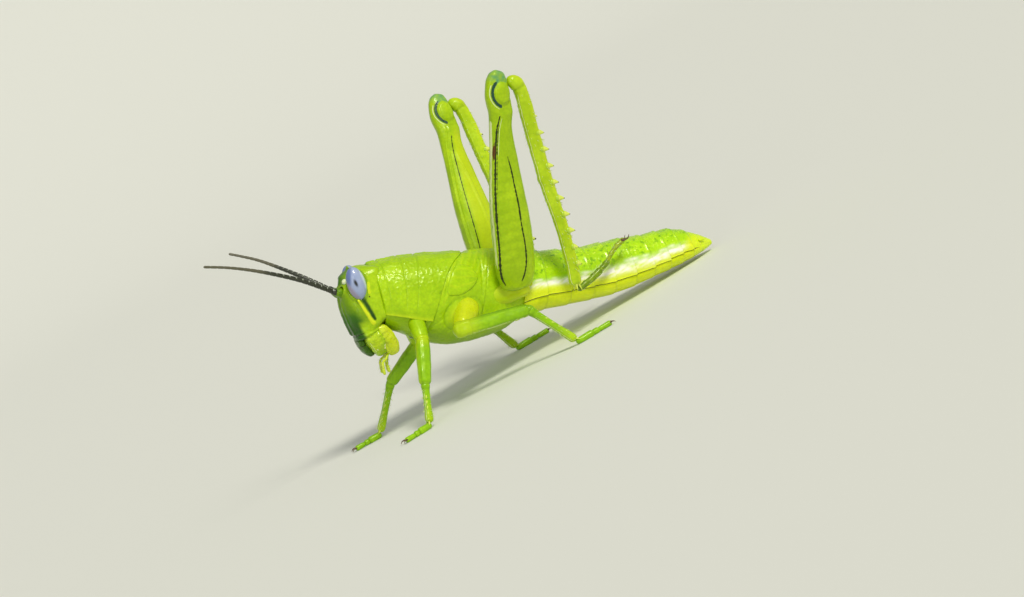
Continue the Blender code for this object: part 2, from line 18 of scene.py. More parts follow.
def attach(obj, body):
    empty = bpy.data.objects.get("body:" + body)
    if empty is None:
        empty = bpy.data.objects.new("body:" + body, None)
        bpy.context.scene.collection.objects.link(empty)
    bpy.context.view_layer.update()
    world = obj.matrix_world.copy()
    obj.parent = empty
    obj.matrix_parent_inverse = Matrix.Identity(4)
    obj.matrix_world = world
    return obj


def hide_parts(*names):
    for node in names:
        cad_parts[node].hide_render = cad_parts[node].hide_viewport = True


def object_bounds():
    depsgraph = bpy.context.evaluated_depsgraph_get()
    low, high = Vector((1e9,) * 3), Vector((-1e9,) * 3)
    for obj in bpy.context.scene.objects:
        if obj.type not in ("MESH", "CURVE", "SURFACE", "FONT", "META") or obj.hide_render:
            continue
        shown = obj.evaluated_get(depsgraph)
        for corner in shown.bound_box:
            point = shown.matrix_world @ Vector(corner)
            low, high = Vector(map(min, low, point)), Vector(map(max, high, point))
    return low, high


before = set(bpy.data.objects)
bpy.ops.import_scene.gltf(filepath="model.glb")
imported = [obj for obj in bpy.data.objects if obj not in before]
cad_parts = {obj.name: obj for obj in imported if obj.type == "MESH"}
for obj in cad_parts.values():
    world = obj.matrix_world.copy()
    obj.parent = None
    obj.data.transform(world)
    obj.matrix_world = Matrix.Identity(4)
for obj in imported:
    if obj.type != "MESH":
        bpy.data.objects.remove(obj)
cad_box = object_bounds()

MM = 0.001
MERGE = 2e-4  # points closer than this are one point
LEFT, RIGHT = -1, 1  # the sign of Y on each side
SIDES = {"left": LEFT, "right": RIGHT}
BODY = "root"

# The markings that a point can carry, each from 0 to 1, with its edge at a half. Besides real markings, some
# of them also carry painted shade and painted highlights, as noted where they are set.
MARKS = ("deep", "yellow", "pale", "teal", "dark", "tip")

# One row for each station along the trunk, from the neck to the tail: the back
# line's x and z, the belly line's x and z, half the width, the height of the
# widest place as a share of the way up, and how far the hind edge bulges back.
TRUNK = (
    (-10.45, 19.00, -12.40, 11.80, 3.10, 0.42, 0.0),
    (-7.50, 18.15, -11.60, 10.90, 3.60, 0.42, 0.0),
    (-4.50, 17.20, -10.60, 9.80, 3.95, 0.42, 0.7),
    (-1.50, 16.25, -9.40, 8.55, 4.15, 0.42, 1.9),
    (0.50, 15.25, -7.20, 6.75, 4.20, 0.42, 1.0),
    (2.50, 14.10, -4.30, 5.50, 4.05, 0.41, 0.3),
    (4.70, 12.80, -0.50, 4.65, 3.85, 0.40, 0.0),
    (6.60, 11.60, 3.20, 4.45, 3.60, 0.38, 0.0),
    (8.10, 10.70, 5.20, 4.20, 3.50, 0.36, 0.0),
    (10.50, 9.50, 8.10, 3.30, 3.42, 0.34, 0.0),
    (13.00, 8.45, 11.00, 2.40, 3.35, 0.33, 0.0),
    (15.50, 7.65, 13.80, 1.60, 3.25, 0.33, 0.0),
    (18.00, 6.90, 16.60, 1.10, 3.10, 0.33, 0.0),
    (20.30, 6.05, 19.20, 0.85, 2.90, 0.34, 0.0),
    (22.40, 5.45, 21.50, 0.60, 2.65, 0.35, 0.0),
    (24.10, 4.90, 23.50, 0.45, 2.30, 0.36, 0.0),
    (25.60, 3.95, 25.10, 0.40, 1.90, 0.37, 0.0),
    (27.20, 2.60, 26.80, 0.40, 1.20, 0.38, 0.0),
    (28.55, 1.10, 28.45, 0.60, 0.35, 0.40, 0.0),
)
PRONOTUM = (0, 3)  # the stations that each piece of the trunk lies between
MESOTHORAX = (3, 5)
METATHORAX = (5, 7)
ABDOMEN_START = 7
ABDOMEN_SEGMENTS = 9
TAIL = (16, 18)
LOBE_EDGE = 0.19  # how far up the side the pronotum's lower edge runs
TERGITE_EDGE = 0.24  # and the lower edge of the abdomen's upper plates
PRONOTUM_RISE = 0.12  # how far each plate stands off the trunk's plain form
STERNUM_RISE = -0.15
TERGITE_RISE = (-0.10, 0.05)
STERNITE_RISE = (-0.10, -0.02)
SKIN_RISE = -0.42

# The small feeler beside the tail's tip, from its root.
CERCUS = ((26.45, 1.44, 2.05), (26.85, 1.42, 1.90), (27.25, 1.28, 1.72))

# The walls of the open plates, and points inside the trunk that their outsides face away from.
PRONOTUM_WALL, THORAX_WALL, ABDOMEN_WALL = 0.16, 0.20, 0.12
FRONT_CORE, REAR_CORE = (-6.0, 0, 13.5), (1.5, 0, 9.8)
TERGITE_CORE, STERNITE_CORE = (17.0, 0, 4.5), (17.0, 0, 5.5)

# The pronotum's cross furrows: the station at the back's mid line, and how much
# further back each is at the lower edge.
SULCI = ((0.42, 0.10), (1.12, 0.36), (1.68, 0.42))

WING_PAD_REACH = (3.25, 4.6)
WING_PAD_ARC = (50, 86)
WING_PAD_THICKNESS = 0.22

HEAD_TURN = -12  # degrees about the neck
NECK = (-11.9, 0.0, 0.0)
# The head, from the crown down: height, face, nape, half the width.
HEAD = (
    (19.62, -12.55, -12.15, 0.02),
    (19.58, -12.80, -11.90, 0.40),
    (19.50, -13.00, -11.60, 0.80),
    (19.20, -13.60, -11.20, 1.80),
    (18.55, -14.30, -11.10, 2.40),
    (17.60, -14.95, -11.40, 2.75),
    (16.20, -15.50, -11.80, 3.00),
    (14.30, -15.78, -12.25, 3.15),
    (12.90, -15.85, -12.50, 3.05),
    (12.00, -15.82, -12.70, 2.80),
    (11.80, -15.40, -12.95, 2.50),
    (11.75, -14.40, -13.90, 0.02),
)

HEAD_TUCK = 1.75  # how much further the head reaches back into the pronotum, between crown and jaw
EYE_CENTRE = (-12.74, 17.88, 2.70)  # x, z and how far out
EYE_RADII = (1.09, 0.98, 1.93)
EYE_LEAN = 7  # degrees
OCELLUS = (-13.76, 1.74, 18.60, 0.33)  # the simple eye before each large one: its middle and radius

# The mouthparts, from the top down: height, front, back and half the width, or
# the two sides.
LABRUM = (
    (12.25, -15.95, -14.80, 1.85),
    (11.20, -15.93, -14.70, 1.78),
    (10.30, -15.72, -14.60, 1.48),
    (9.48, -15.25, -14.55, 0.90),
)
LABIUM = (
    (11.90, -12.98, -12.45, 0.72),
    (10.30, -12.95, -12.20, 0.70),
    (9.10, -13.00, -12.45, 0.60),
)
MANDIBLE = (
    (12.25, -15.05, -12.70, 0.10, 2.86),
    (11.30, -15.00, -12.55, 0.10, 2.74),
    (10.50, -14.86, -12.60, 0.10, 2.42),
    (9.70, -14.62, -12.80, 0.10, 1.90),
    (9.05, -14.35, -13.15, 0.10, 1.20),
)
MAXILLA = (
    (12.45, -13.30, -12.20, 0.80, 2.72),
    (11.60, -13.30, -11.85, 0.80, 2.66),
    (10.70, -13.30, -11.66, 0.80, 2.44),
    (9.60, -13.30, -11.64, 0.80, 2.06),
    (8.50, -13.20, -11.95, 0.80, 1.50),
)
# Points along the palps: x, z and how far out.
PALPS = {
    "maxillary_palp": (
        (-13.05, 9.15, 1.20),
        (-13.75, 8.62, 1.42),
        (-14.30, 8.40, 1.48),
        (-14.55, 7.85, 1.42),
        (-14.78, 7.00, 1.30),
    ),
    "labial_palp": (
        (-12.90, 9.20, 0.45),
        (-13.45, 8.70, 0.50),
        (-13.85, 8.10, 0.58),
        (-14.00, 7.60, 0.60),
        (-14.12, 6.92, 0.58),
    ),
}
PALP_JOINTS = {"maxillary_palp": 4, "labial_palp": 3}
PALP_RADIUS = 0.17

# The middle lines of the feelers, from their sockets.
ANTENNAE = {
    "left": (
        (-15.08, -0.72, 17.78),
        (-15.75, -0.85, 18.35),
        (-18.68, -1.90, 21.30),
        (-22.39, -3.00, 24.32),
        (-25.56, -4.00, 26.50),
        (-28.35, -4.60, 28.10),
    ),
    "right": (
        (-14.80, 1.58, 17.80),
        (-15.35, 1.85, 18.65),
        (-17.15, 3.20, 21.35),
        (-19.50, 6.00, 24.70),
        (-21.10, 7.50, 26.40),
        (-22.10, 8.10, 27.30),
    ),
}
FEELER_JOINTS = 20  # beyond the first

# A limb's stations: share of its length, half depth towards the tail and towards
# the head (one number when they are the same) and half its thickness.
HIND_FEMUR = (
    (-0.026, 1.10, 1.00, 0.50),
    (0.000, 1.95, 1.55, 0.75),
    (0.060, 2.48, 1.95, 0.98),
    (0.190, 2.66, 2.10, 1.30),
    (0.360, 2.44, 2.12, 1.35),
    (0.510, 2.03, 1.93, 1.15),
    (0.650, 1.66, 1.58, 0.95),
    (0.790, 1.35, 1.32, 0.85),
    (0.880, 1.62, 1.22, 0.98),
    (0.960, 1.62, 1.50, 1.12),
    (1.025, 1.42, 1.28, 1.00),
    (1.066, 1.00, 0.80, 0.70),
    (1.086, 0.42, 0.30, 0.35),
)
SLIM_FEMUR = ((0.0, 0.55, 0.50), (0.05, 0.78, 0.70), (0.35, 0.90, 0.80), (0.70, 0.84, 0.72),
              (0.92, 0.74, 0.66), (1.0, 0.60, 0.56))
SLIM_TIBIA = ((0.0, 0.48, 0.46), (0.06, 0.58, 0.54), (0.20, 0.46, 0.44), (0.60, 0.44, 0.42),
              (0.90, 0.52, 0.50), (1.0, 0.40, 0.40))
COXA = ((0.0, 0.95, 1.0), (0.2, 1.05, 1.05), (0.55, 0.98, 0.98), (0.85, 0.80, 0.80), (1.0, 0.45, 0.45))
HIP = ((0.0, 0.85, 0.85), (0.2, 1.0, 1.0), (0.6, 0.95, 0.95), (0.85, 0.90, 0.85), (1.0, 0.75, 0.70))

# The hind legs: places as (x, how far out, z).
HIND_HIP = {"left": (2.50, 4.80, 8.80), "right": (3.65, 4.80, 8.80)}
HIND_KNEE = {"left": (9.85, 10.50, 29.95), "right": (9.70, 10.50, 29.95)}
HIND_COXA = {
    "left": ((-0.90, 2.30, 8.75), (4.35, 4.20, 8.05)),
    "right": ((-0.60, 2.30, 8.80), (5.15, 4.20, 8.05)),
}
HIND_COXA_RADIUS = 1.30
HIND_TIBIA = (
    (11.95, 10.55, 30.35),
    (12.20, 10.55, 29.85),
    (12.35, 10.45, 29.00),
    (12.20, 10.20, 27.80),
    (11.72, 9.65, 25.40),
    (10.98, 8.60, 20.60),
    (10.50, 7.95, 17.30),
    (10.12, 7.05, 12.90),
    (9.68, 6.40, 9.85),
    (9.15, 5.75, 6.80),
    (8.85, 5.45, 5.30),
)
HIND_TIBIA_WIDTH = ((0.0, 0.55), (0.02, 0.72), (0.055, 0.88), (0.11, 0.76), (0.5, 0.70), (0.9, 0.60),
                    (0.975, 0.74), (1.0, 0.55))
TIBIA_FLATNESS = 0.84
TIBIA_LEAN = {"left": 0.0, "right": -0.22}  # how far its head is moved in x
KNEE_TUCK = 0.46  # how much nearer the thigh the shin's head is than in the solids
SPINE_ROWS = 9
SPINE_START, SPINE_PITCH, SPINE_LENGTH, SPINE_RADIUS = 7.57, 2.0, 1.05, 0.62
SPINE_LAG = 0.70  # how much further down the shin one row's spines stand than the other's
SHIN_REAR = 0.24  # how much thicker the hind shin is towards the tail
HIND_FOOT = (
    (8.80, 5.30, 4.75),
    (10.10, 5.15, 4.85),
    (11.80, 4.95, 5.15),
    (13.60, 4.75, 5.65),
    (15.00, 4.60, 6.35),
    (16.10, 4.50, 7.00),
    (17.30, 4.45, 7.05),
)
# The joints of a hind foot: the shares of it that each lies between, half the
# height and half the width.
HIND_FOOT_JOINTS = ((0.0, 0.44, 0.40, 0.40), (0.40, 0.60, 0.34, 0.36), (0.56, 0.98, 0.28, 0.30))

# The standing legs: places as (x, how far out, z).
MIDDLE_LEG = {
    "coxa": (-3.10, 3.10, 9.40), "hip": (-5.25, 6.40, 7.60), "knee": (1.20, 9.00, 6.15),
    "ankle": (3.85, 10.40, 0.80), "toe": (8.70, 10.60, 0.30),
}
STANDING_LEGS = {
    "middle": {"left": MIDDLE_LEG, "right": MIDDLE_LEG},
    "front": {
        "left": {
            "coxa": (-9.90, 2.60, 10.10), "hip": (-10.10, 4.50, 8.95), "knee": (-12.90, 6.40, 4.55),
            "ankle": (-14.75, 7.40, 0.85), "toe": (-18.50, 7.90, 0.30),
        },
        "right": {
            "coxa": (-9.30, 2.60, 10.10), "hip": (-8.20, 4.00, 7.75), "knee": (-13.20, 5.40, 5.15),
            "ankle": (-16.60, 6.60, 0.85), "toe": (-20.30, 7.10, 0.30),
        },
    },
}
COXA_RADIUS = {"middle": 1.28, "front": 0.92}
SLIM_SCALE = {"middle": 1.0, "front": 0.92}
TROCHANTER = {"middle": 1.90, "front": 0.45}  # how far before the hip the thigh's first joint starts
HEEL_HEIGHT = 0.36
# The joints of a standing foot: its share of the way to the toe, half the height
# and half the width of each.
FOOT_JOINTS = ((-0.06, 0.46, 0.42, 0.44), (0.40, 0.63, 0.36, 0.38), (0.57, 1.0, 0.31, 0.34))

BRISTLE_LENGTH = 0.38
BRISTLE_SEED = 7
PATCH = 0.003  # how wide a hair's patch is in the map OFBake


# Shapes.

# The hairs wanted on each limb: its line and shape, the shares of its length and
# the angles round it, in degrees, that they stand between, and how many.
BRISTLES = []


def at(point, side):
    """A point given as (x, distance from the middle, z), on one side."""
    return Vector((point[0], side * point[1], point[2]))


def curve_through(rows, place):
    """Catmull-Rom interpolation of rows of numbers; place counts rows."""
    first = min(max(int(place), 0), len(rows) - 2)
    share = place - first
    before = rows[max(first - 1, 0)]
    after = rows[min(first + 2, len(rows) - 1)]
    found = []
    for a, b, c, d in zip(before, rows[first], rows[first + 1], after):
        bend = 2 * b + (c - a) * share + (2 * a - 5 * b + 4 * c - d) * share**2
        found.append((bend + (3 * b - a - 3 * c + d) * share**3) / 2)
    return found


@functools.lru_cache(maxsize=None)
def slopes_of(rows):
    """How fast each number of each row changes with the share along."""
    found = []
    for k in range(len(rows)):
        low, high = rows[max(k - 1, 0)], rows[min(k + 1, len(rows) - 1)]
        found.append([(b - a) / (high[0] - low[0]) for a, b in zip(low[1:], high[1:])])
    return found


def row_at(rows, share):
    """Smooth interpolation of rows whose first number is the share along."""
    share = min(max(share, rows[0][0]), rows[-1][0])
    k = next(k for k in range(len(rows) - 1) if share <= rows[k + 1][0])
    low, high = rows[k], rows[k + 1]
    wide = high[0] - low[0]
    t = (share - low[0]) / wide
    ease = t * t * (3 - 2 * t)
    leave, arrive = (t - 2 * t**2 + t**3) * wide, (t**3 - t**2) * wide
    slopes = slopes_of(rows)
    return [a + (b - a) * ease + leaving * leave + arriving * arrive
            for a, b, leaving, arriving in zip(low[1:], high[1:], slopes[k], slopes[k + 1])]


def step(low, high, value):
    """0 below low, 1 above high and smooth between."""
    share = min(max((value - low) / (high - low), 0.0), 1.0)
    return share * share * (3 - 2 * share)


def hump(offset, width):
    """1 at no offset, falling away smoothly on both sides."""
    return math.exp(-((offset / width) ** 2))


def mark(distance, half_width):
    """How strongly a marking shows at a distance from its middle: a half at its edge."""
    return max(0.0, 1 - abs(distance) / (2 * half_width))


def rough(point, size, seed=0.0):
    """Even noise from about -1 to 1, whose lumps are size apart."""
    return noise.noise(point / size + Vector((seed, seed, seed)))


def off_line(point, start, end):
    """The distance of a point from a straight line between two points, and the
    share of the way along it, in as many directions as the points have."""
    start, end = Vector(start), Vector(end)
    way = end - start
    share = min(max((point - start).dot(way) / way.length_squared, 0.0), 1.0)
    return (point - start - way * share).length, share


class Line:
    """A smooth line through points, measured along its length."""

    def __init__(self, points, steps=16):
        count = steps * (len(points) - 1)
        self.points = [Vector(curve_through(points, k / steps)) for k in range(count + 1)]
        self.reach = [0.0]
        for near, far in zip(self.points, self.points[1:]):
            self.reach.append(self.reach[-1] + (far - near).length)
        self.length = self.reach[-1]

    def at(self, distance):
        """The point at a distance along, and the direction there."""
        distance = min(max(distance, 0.0), self.length)
        low, high = 0, len(self.reach) - 1
        while high - low > 1:
            middle = (low + high) // 2
            low, high = (middle, high) if self.reach[middle] <= distance else (low, middle)
        share = (distance - self.reach[low]) / (self.reach[high] - self.reach[low])
        before, after = self.points[max(low - 1, 0)], self.points[min(high + 1, len(self.points) - 1)]
        return self.points[low].lerp(self.points[high], share), (after - before).normalized()


def limb_frame(line, distance, hint):
    """A point on a limb's middle line, and the directions forward, across and up there."""
    point, forward = line.at(distance)
    sideways = (hint - forward * hint.dot(forward)).normalized()
    return point, forward, sideways, sideways.cross(forward)


def new_mesh():
    """An empty mesh whose points can carry the markings."""
    bm = bmesh.new()
    for name in MARKS:
        bm.verts.layers.float.new(name)
    return bm


def surface(bm, across, along, place):
    """Bends a new grid into a surface: place(u, v) gives, for shares of the way
    across and along it, a point and the markings there."""
    verts = bmesh.ops.create_grid(bm, x_segments=across, y_segments=along, size=1.0)["verts"]
    layers = {name: bm.verts.layers.float[name] for name in MARKS}
    for vert in verts:
        point, marks = place((vert.co.x + 1) / 2, (vert.co.y + 1) / 2)
        vert.co = point * MM
        for name, value in marks.items():
            vert[layers[name]] = value
    return verts


def tube(bm, line, shape, around=24, along=40, marks=None, side=(0, 1, 0), rounding=(1.0, 1.0)):
    """A limb round a line. shape(distance, c, s) gives the offsets up and across
    at the angle with cosine c and sine s; the ends are rounded over a length."""
    hint = Vector(side)

    def place(u, v):
        even = 0.45 * v + 0.55 * (1 - math.cos(math.pi * v)) / 2
        distance = even * line.length
        angle = 2 * math.pi * u
        c, s = math.cos(angle), math.sin(angle)
        up_by, across_by = shape(distance, c, s)
        ends = 1.0
        for way, length in zip((distance, line.length - distance), rounding):
            if way < length:
                ends *= math.sqrt(max(0.0, 1 - (1 - way / length) ** 2))
        point, _, sideways, up = limb_frame(line, distance, hint)
        found = point + (up * up_by + sideways * across_by) * ends
        return found, marks(distance, c, s, found) if marks else {}

    return surface(bm, around, along, place)


def round_shape(radius):
    """A shape for tube() from a function that gives the radius at a distance along."""

    def shape(distance, c, s):
        size = radius(distance)
        return size * c, size * s

    return shape


def squared(value, power):
    """A sine or cosine bent towards a square's corners, where power is under 1."""
    return math.copysign(abs(value) ** power, value)


def add_piece(name, bm, look, nodes=(), thickness=0.0, core=None):
    """Makes a finished piece of a bmesh. thickness gives an open plate its wall,
    inwards, and core is a point that an open plate's outside faces away from."""
    bmesh.ops.remove_doubles(bm, verts=bm.verts, dist=MERGE * MM)
    if core is None:
        bmesh.ops.recalc_face_normals(bm, faces=bm.faces)
    else:
        bm.normal_update()
        middle = Vector(core) * MM
        if sum(f.normal.dot(f.calc_center_median() - middle) for f in bm.faces) < 0:
            bmesh.ops.reverse_faces(bm, faces=bm.faces)
    mesh = bpy.data.meshes.new(name)
    bm.to_mesh(mesh)
    bm.free()
    mesh.shade_smooth()
    mesh.materials.append(look)
    made = bpy.data.objects.new(name, mesh)
    bpy.context.scene.collection.objects.link(made)
    if thickness:
        wall = made.modifiers.new("wall", "SOLIDIFY")
        wall.thickness = thickness * MM
        wall.offset = -1.0
        wall.use_even_offset = False
    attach(made, BODY)
    if nodes:
        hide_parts(*nodes)
    return made


# Materials.


def linear(text):
    """An sRGB colour such as "9DC404", as linear light."""
    found = []
    for k in (0, 2, 4):
        share = int(text[k : k + 2], 16) / 255
        found.append(share / 12.92 if share <= 0.04045 else ((share + 0.055) / 1.055) ** 2.4)
    return (*found, 1.0)


def add_node(tree, kind, inputs, out=0, **settings):
    """Adds a node with its settings and links, and gives one of its outputs."""
    made = tree.nodes.new("ShaderNode" + kind)
    for key, value in settings.items():
        setattr(made, key, value)
    for socket, value in inputs.items():
        if isinstance(value, bpy.types.NodeSocket):
            tree.links.new(value, made.inputs[socket])
        else:
            made.inputs[socket].default_value = value
    return made.outputs[out]


def new_material(name):
    """An empty material, and its tree of nodes."""
    made = bpy.data.materials.new(name)
    made.use_nodes = True
    made.node_tree.nodes.clear()
    return made, made.node_tree


def finish_material(tree, inputs):
    """Gives a material its shader and its output."""
    shader = add_node(tree, "BsdfPrincipled", inputs)
    output = tree.nodes.new("ShaderNodeOutputMaterial")
    tree.links.new(shader, output.inputs["Surface"])


MARK_COLOURS = {"pale": "F2F5B8", "yellow": "DDE51E", "teal": "1F5A48", "deep": "3E6A08", "dark": "141A08",
                "tip": "2A1A08"}


# The pale flecks of a mottled back: their size, share, soft edge and colour.
PALE_FLECKS = (0.30, 0.38, 0.10, "D4F04A")


def cuticle(name, base, light, shade, granule=0.34, relief=0.016, roughness=0.36, coat=0.30,
            mottle=None, mottle_size=0.30, mottle_share=0.46, soft=("deep", "yellow"), colours=()):
    """Insect cuticle: a thin waxed chitin shell, moulded with fine granules. Its
    wax coat gives small sharp glints, and light goes a little way into it. The
    markings named in soft blend in evenly, and the others have an edge."""
    made, tree = new_material(name)
    place = add_node(tree, "TexCoord", {}, out=3)
    mm = add_node(tree, "VectorMath", {0: place, "Scale": 1 / MM}, operation="SCALE")
    broad = add_node(tree, "TexNoise", {"Vector": mm, "Scale": 0.45, "Detail": 2.0})
    fine = add_node(tree, "TexNoise", {"Vector": mm, "Scale": 4.0, "Detail": 3.0})
    grains = add_node(tree, "TexVoronoi", {"Vector": mm, "Scale": 1 / granule}, feature="SMOOTH_F1")
    softly = add_node(tree, "MapRange", {"Value": broad, "From Min": 0.38, "From Max": 0.66})
    colour = add_node(tree, "Mix", {0: softly, 6: linear(base), 7: linear(light)}, out=2, data_type="RGBA")
    pits = add_node(tree, "MapRange", {"Value": grains, "From Min": 0.25, "From Max": 0.75, "To Max": 0.45})
    colour = add_node(tree, "Mix", {0: pits, 6: colour, 7: linear(shade)}, out=2, data_type="RGBA")
    if mottle:
        upper = add_node(tree, "Attribute", {}, out=2, attribute_name="tip")
        for size, share, fade, shown in ((mottle_size, mottle_share, 0.16, mottle), PALE_FLECKS):
            patch = add_node(tree, "TexNoise", {"Vector": mm, "Scale": 1 / size, "Detail": 2.0})
            span = {"Value": patch, "From Min": 1 - share, "From Max": 1 + fade - share}
            spots = add_node(tree, "MapRange", span, interpolation_type="SMOOTHSTEP")
            spots = add_node(tree, "Math", {0: spots, 1: upper}, operation="MULTIPLY")
            colour = add_node(tree, "Mix", {0: spots, 6: colour, 7: linear(shown)}, out=2, data_type="RGBA")
    shift = add_node(tree, "MapRange", {"Value": fine, "From Min": 0.2, "From Max": 0.8,
                                        "To Min": -0.125, "To Max": 0.125})
    chosen = dict(MARK_COLOURS, **dict(colours))
    for kind in MARKS:
        if mottle and kind == "tip":
            continue
        shown = add_node(tree, "Attribute", {}, out=2, attribute_name=kind)
        if kind not in soft:
            moved = add_node(tree, "Math", {0: shown, 1: shift}, operation="ADD")
            shown = add_node(tree, "MapRange", {"Value": moved, "From Min": 0.38, "From Max": 0.62},
                             interpolation_type="SMOOTHSTEP")
        layers = {0: shown, 6: colour, 7: linear(chosen[kind])}
        colour = add_node(tree, "Mix", layers, out=2, data_type="RGBA")
    height = add_node(tree, "Math", {0: grains, 1: -1.0}, operation="MULTIPLY")
    height = add_node(tree, "Math", {0: fine, 1: 0.5, 2: height}, operation="MULTIPLY_ADD")
    bumps = add_node(tree, "Bump", {"Height": height, "Distance": relief * MM, "Strength": 1.0})
    worn = add_node(tree, "MapRange", {"Value": fine, "From Min": 0.3, "From Max": 0.7,
                                       "To Min": roughness - 0.06, "To Max": roughness + 0.08})
    finish_material(tree, {
        "Base Color": colour, "Roughness": worn, "Normal": bumps, "IOR": 1.45,
        "Specular Tint": linear("EEF7A0"), "Coat Weight": coat, "Coat Roughness": 0.12, "Coat IOR": 1.4,
        "Subsurface Weight": 0.15, "Subsurface Radius": (0.6, 1.0, 0.15), "Subsurface Scale": 0.5 * MM,
    })
    return made


GREEN = cuticle("lime waxed cuticle", "9DC406", "AED40C", "86B003", granule=0.28, relief=0.020, coat=0.25)
# This material's pale mark is near white: a painted highlight along the abdomen's side.
UPPER = cuticle("mottled lime cuticle", "A8DA06", "BCEA10", "94C803", granule=0.28, mottle="74AE04",
                mottle_size=0.50, mottle_share=0.46, roughness=0.26, coat=0.55,
                soft=("deep", "yellow", "pale"), colours={"pale": "FFFFEE", "yellow": "E2EE1C"})
UNDER = cuticle("yellow green cuticle", "DCEE04", "E8F818", "C8DE02", relief=0.008)
LEG = cuticle("leaf green leg cuticle", "86B806", "98C80E", "6EA004", relief=0.008)
THIGH = cuticle("lime thigh cuticle", "9CBE06", "AECE10", "84AA04", granule=0.28, relief=0.008,
                colours={"deep": "4E9468", "teal": "17463C", "pale": "D8E2A0", "dark": "1A280A",
                         "tip": "5A2E08"})
SHIN = cuticle("pale lime shin cuticle", "A8C60E", "BEDA20", "92B408", relief=0.008)
# On the face, deep and teal carry the front's dark green, partly its own colour and partly painted shade.
FACE = cuticle("green face cuticle", "9FC208", "B0D212", "86AC04", granule=0.28, relief=0.026,
               soft=("deep", "yellow", "teal"),
               colours={"deep": "326C04", "teal": "0E4210", "pale": "D2E01C", "yellow": "E6F0C8"})
LIP = cuticle("dark green lip cuticle", "2A5406", "3E6E0C", "1A3E04", granule=0.26, relief=0.030)
JAW = cuticle("pale mouthpart cuticle", "C2D61A", "DEEA48", "A6C00C", granule=0.22, relief=0.055,
              roughness=0.26, coat=0.6)
CHEEK = cuticle("lime jaw cuticle", "A2C808", "C2DC1C", "86AC04", granule=0.24, relief=0.060,
                roughness=0.26, coat=0.7)
AMBER = cuticle("amber coxa cuticle", "BCCC0A", "D0DE1A", "A8B806", relief=0.016, roughness=0.30, coat=0.45)
SKIN = cuticle("joint membrane", "9CB814", "AEC824", "84A00C", granule=0.2, relief=0.008,
               roughness=0.5, coat=0.1)


def eye_material():
    """A compound eye: thousands of clear lenses over blue grey pigment, so it is
    smooth and wet looking, with a dark slit where one looks straight in."""
    made, tree = new_material("compound eye lenses")
    place = add_node(tree, "TexCoord", {}, out=3)
    mm = add_node(tree, "VectorMath", {0: place, "Scale": 1 / MM}, operation="SCALE")
    broad = add_node(tree, "TexNoise", {"Vector": mm, "Scale": 0.8, "Detail": 2.0})
    lenses = add_node(tree, "TexVoronoi", {"Vector": mm, "Scale": 14.0})
    greys = {0: broad, 6: linear("8494BC"), 7: linear("A8B4D6")}
    colour = add_node(tree, "Mix", greys, out=2, data_type="RGBA")
    # Of these marks, yellow is painted shade on the eye's front and top, and pale is painted light on its
    # rear.
    for kind, text in (("yellow", "6678AC"), ("deep", "9890A8"), ("pale", "C6D2E4"), ("teal", "626C88"),
                       ("dark", "0E1016")):
        level = add_node(tree, "Attribute", {}, out=2, attribute_name=kind)
        shown = add_node(tree, "MapRange", {"Value": level, "From Min": 0.2, "From Max": 0.8},
                         interpolation_type="SMOOTHSTEP")
        colour = add_node(tree, "Mix", {0: shown, 6: colour, 7: linear(text)}, out=2, data_type="RGBA")
    bumps = add_node(tree, "Bump", {"Height": lenses, "Distance": 0.003 * MM, "Strength": 0.6})
    finish_material(tree, {"Base Color": colour, "Roughness": 0.3, "Normal": bumps, "IOR": 1.45,
                           "Coat Weight": 0.7, "Coat Roughness": 0.06})
    return made


def plain_material(name, base, light, roughness, coat, size, deep="55523C"):
    """Chitin with no wax: one colour that varies a little, with fine wrinkles."""
    made, tree = new_material(name)
    place = add_node(tree, "TexCoord", {}, out=3)
    mm = add_node(tree, "VectorMath", {0: place, "Scale": 1 / MM}, operation="SCALE")
    fine = add_node(tree, "TexNoise", {"Vector": mm, "Scale": 1 / size, "Detail": 3.0})
    colour = add_node(tree, "Mix", {0: fine, 6: linear(base), 7: linear(light)}, out=2, data_type="RGBA")
    for kind, text in (("pale", "9AA090"), ("deep", deep), ("tip", "241808")):
        level = add_node(tree, "Attribute", {}, out=2, attribute_name=kind)
        shown = add_node(tree, "MapRange", {"Value": level, "From Min": 0.35, "From Max": 0.65},
                         interpolation_type="SMOOTHSTEP")
        colour = add_node(tree, "Mix", {0: shown, 6: colour, 7: linear(text)}, out=2, data_type="RGBA")
    bumps = add_node(tree, "Bump", {"Height": fine, "Distance": 0.008 * MM, "Strength": 1.0})
    finish_material(tree, {"Base Color": colour, "Roughness": roughness, "Normal": bumps, "IOR": 1.54,
                           "Coat Weight": coat, "Coat Roughness": 0.2})
    return made


EYE = eye_material()
WHIP = plain_material("black antenna cuticle", "15180A", "2A2E12", 0.45, 0.3, 0.15)
CLAW = plain_material("brown claw horn", "3A2410", "6A4A1C", 0.3, 0.5, 0.2)
SPINE = plain_material("pale spine cuticle", "C8D83C", "DCE860", 0.35, 0.4, 0.2, "AACA10")
HAIR = plain_material("pale bristle", "C8D890", "E0E8B0", 0.5, 0.0, 0.2)


# The trunk.


def trunk_section(station):
    """The trunk's section at a station: a function from an angle down from the
    back and a lift off the surface to a point, and one for the height share."""
    back_x, back_z, belly_x, belly_z, half_width, waist, bulge = curve_through(TRUNK, station)
    back, belly = Vector((back_x, 0, back_z)), Vector((belly_x, 0, belly_z))
    upward = (back - belly).normalized()
    tailward = Vector((upward.z, 0, -upward.x))
    reach = (back - belly).length

    def height(angle):
        c = math.cos(angle)
        return waist + (1 - waist) * c**0.92 if c > 0 else waist - waist * abs(c) ** 0.75

    def point(angle, lift=0.0):
        c, s = math.cos(angle), math.sin(angle)
        across = (half_width + lift) * math.copysign(abs(s) ** 0.86, s)
        share = height(angle)
        swept = bulge * max(c, 0) ** 3
        up = -lift + share * (reach + 2 * lift)
        return belly + upward * up + Vector((0, across, 0)) + tailward * swept

    return point, height


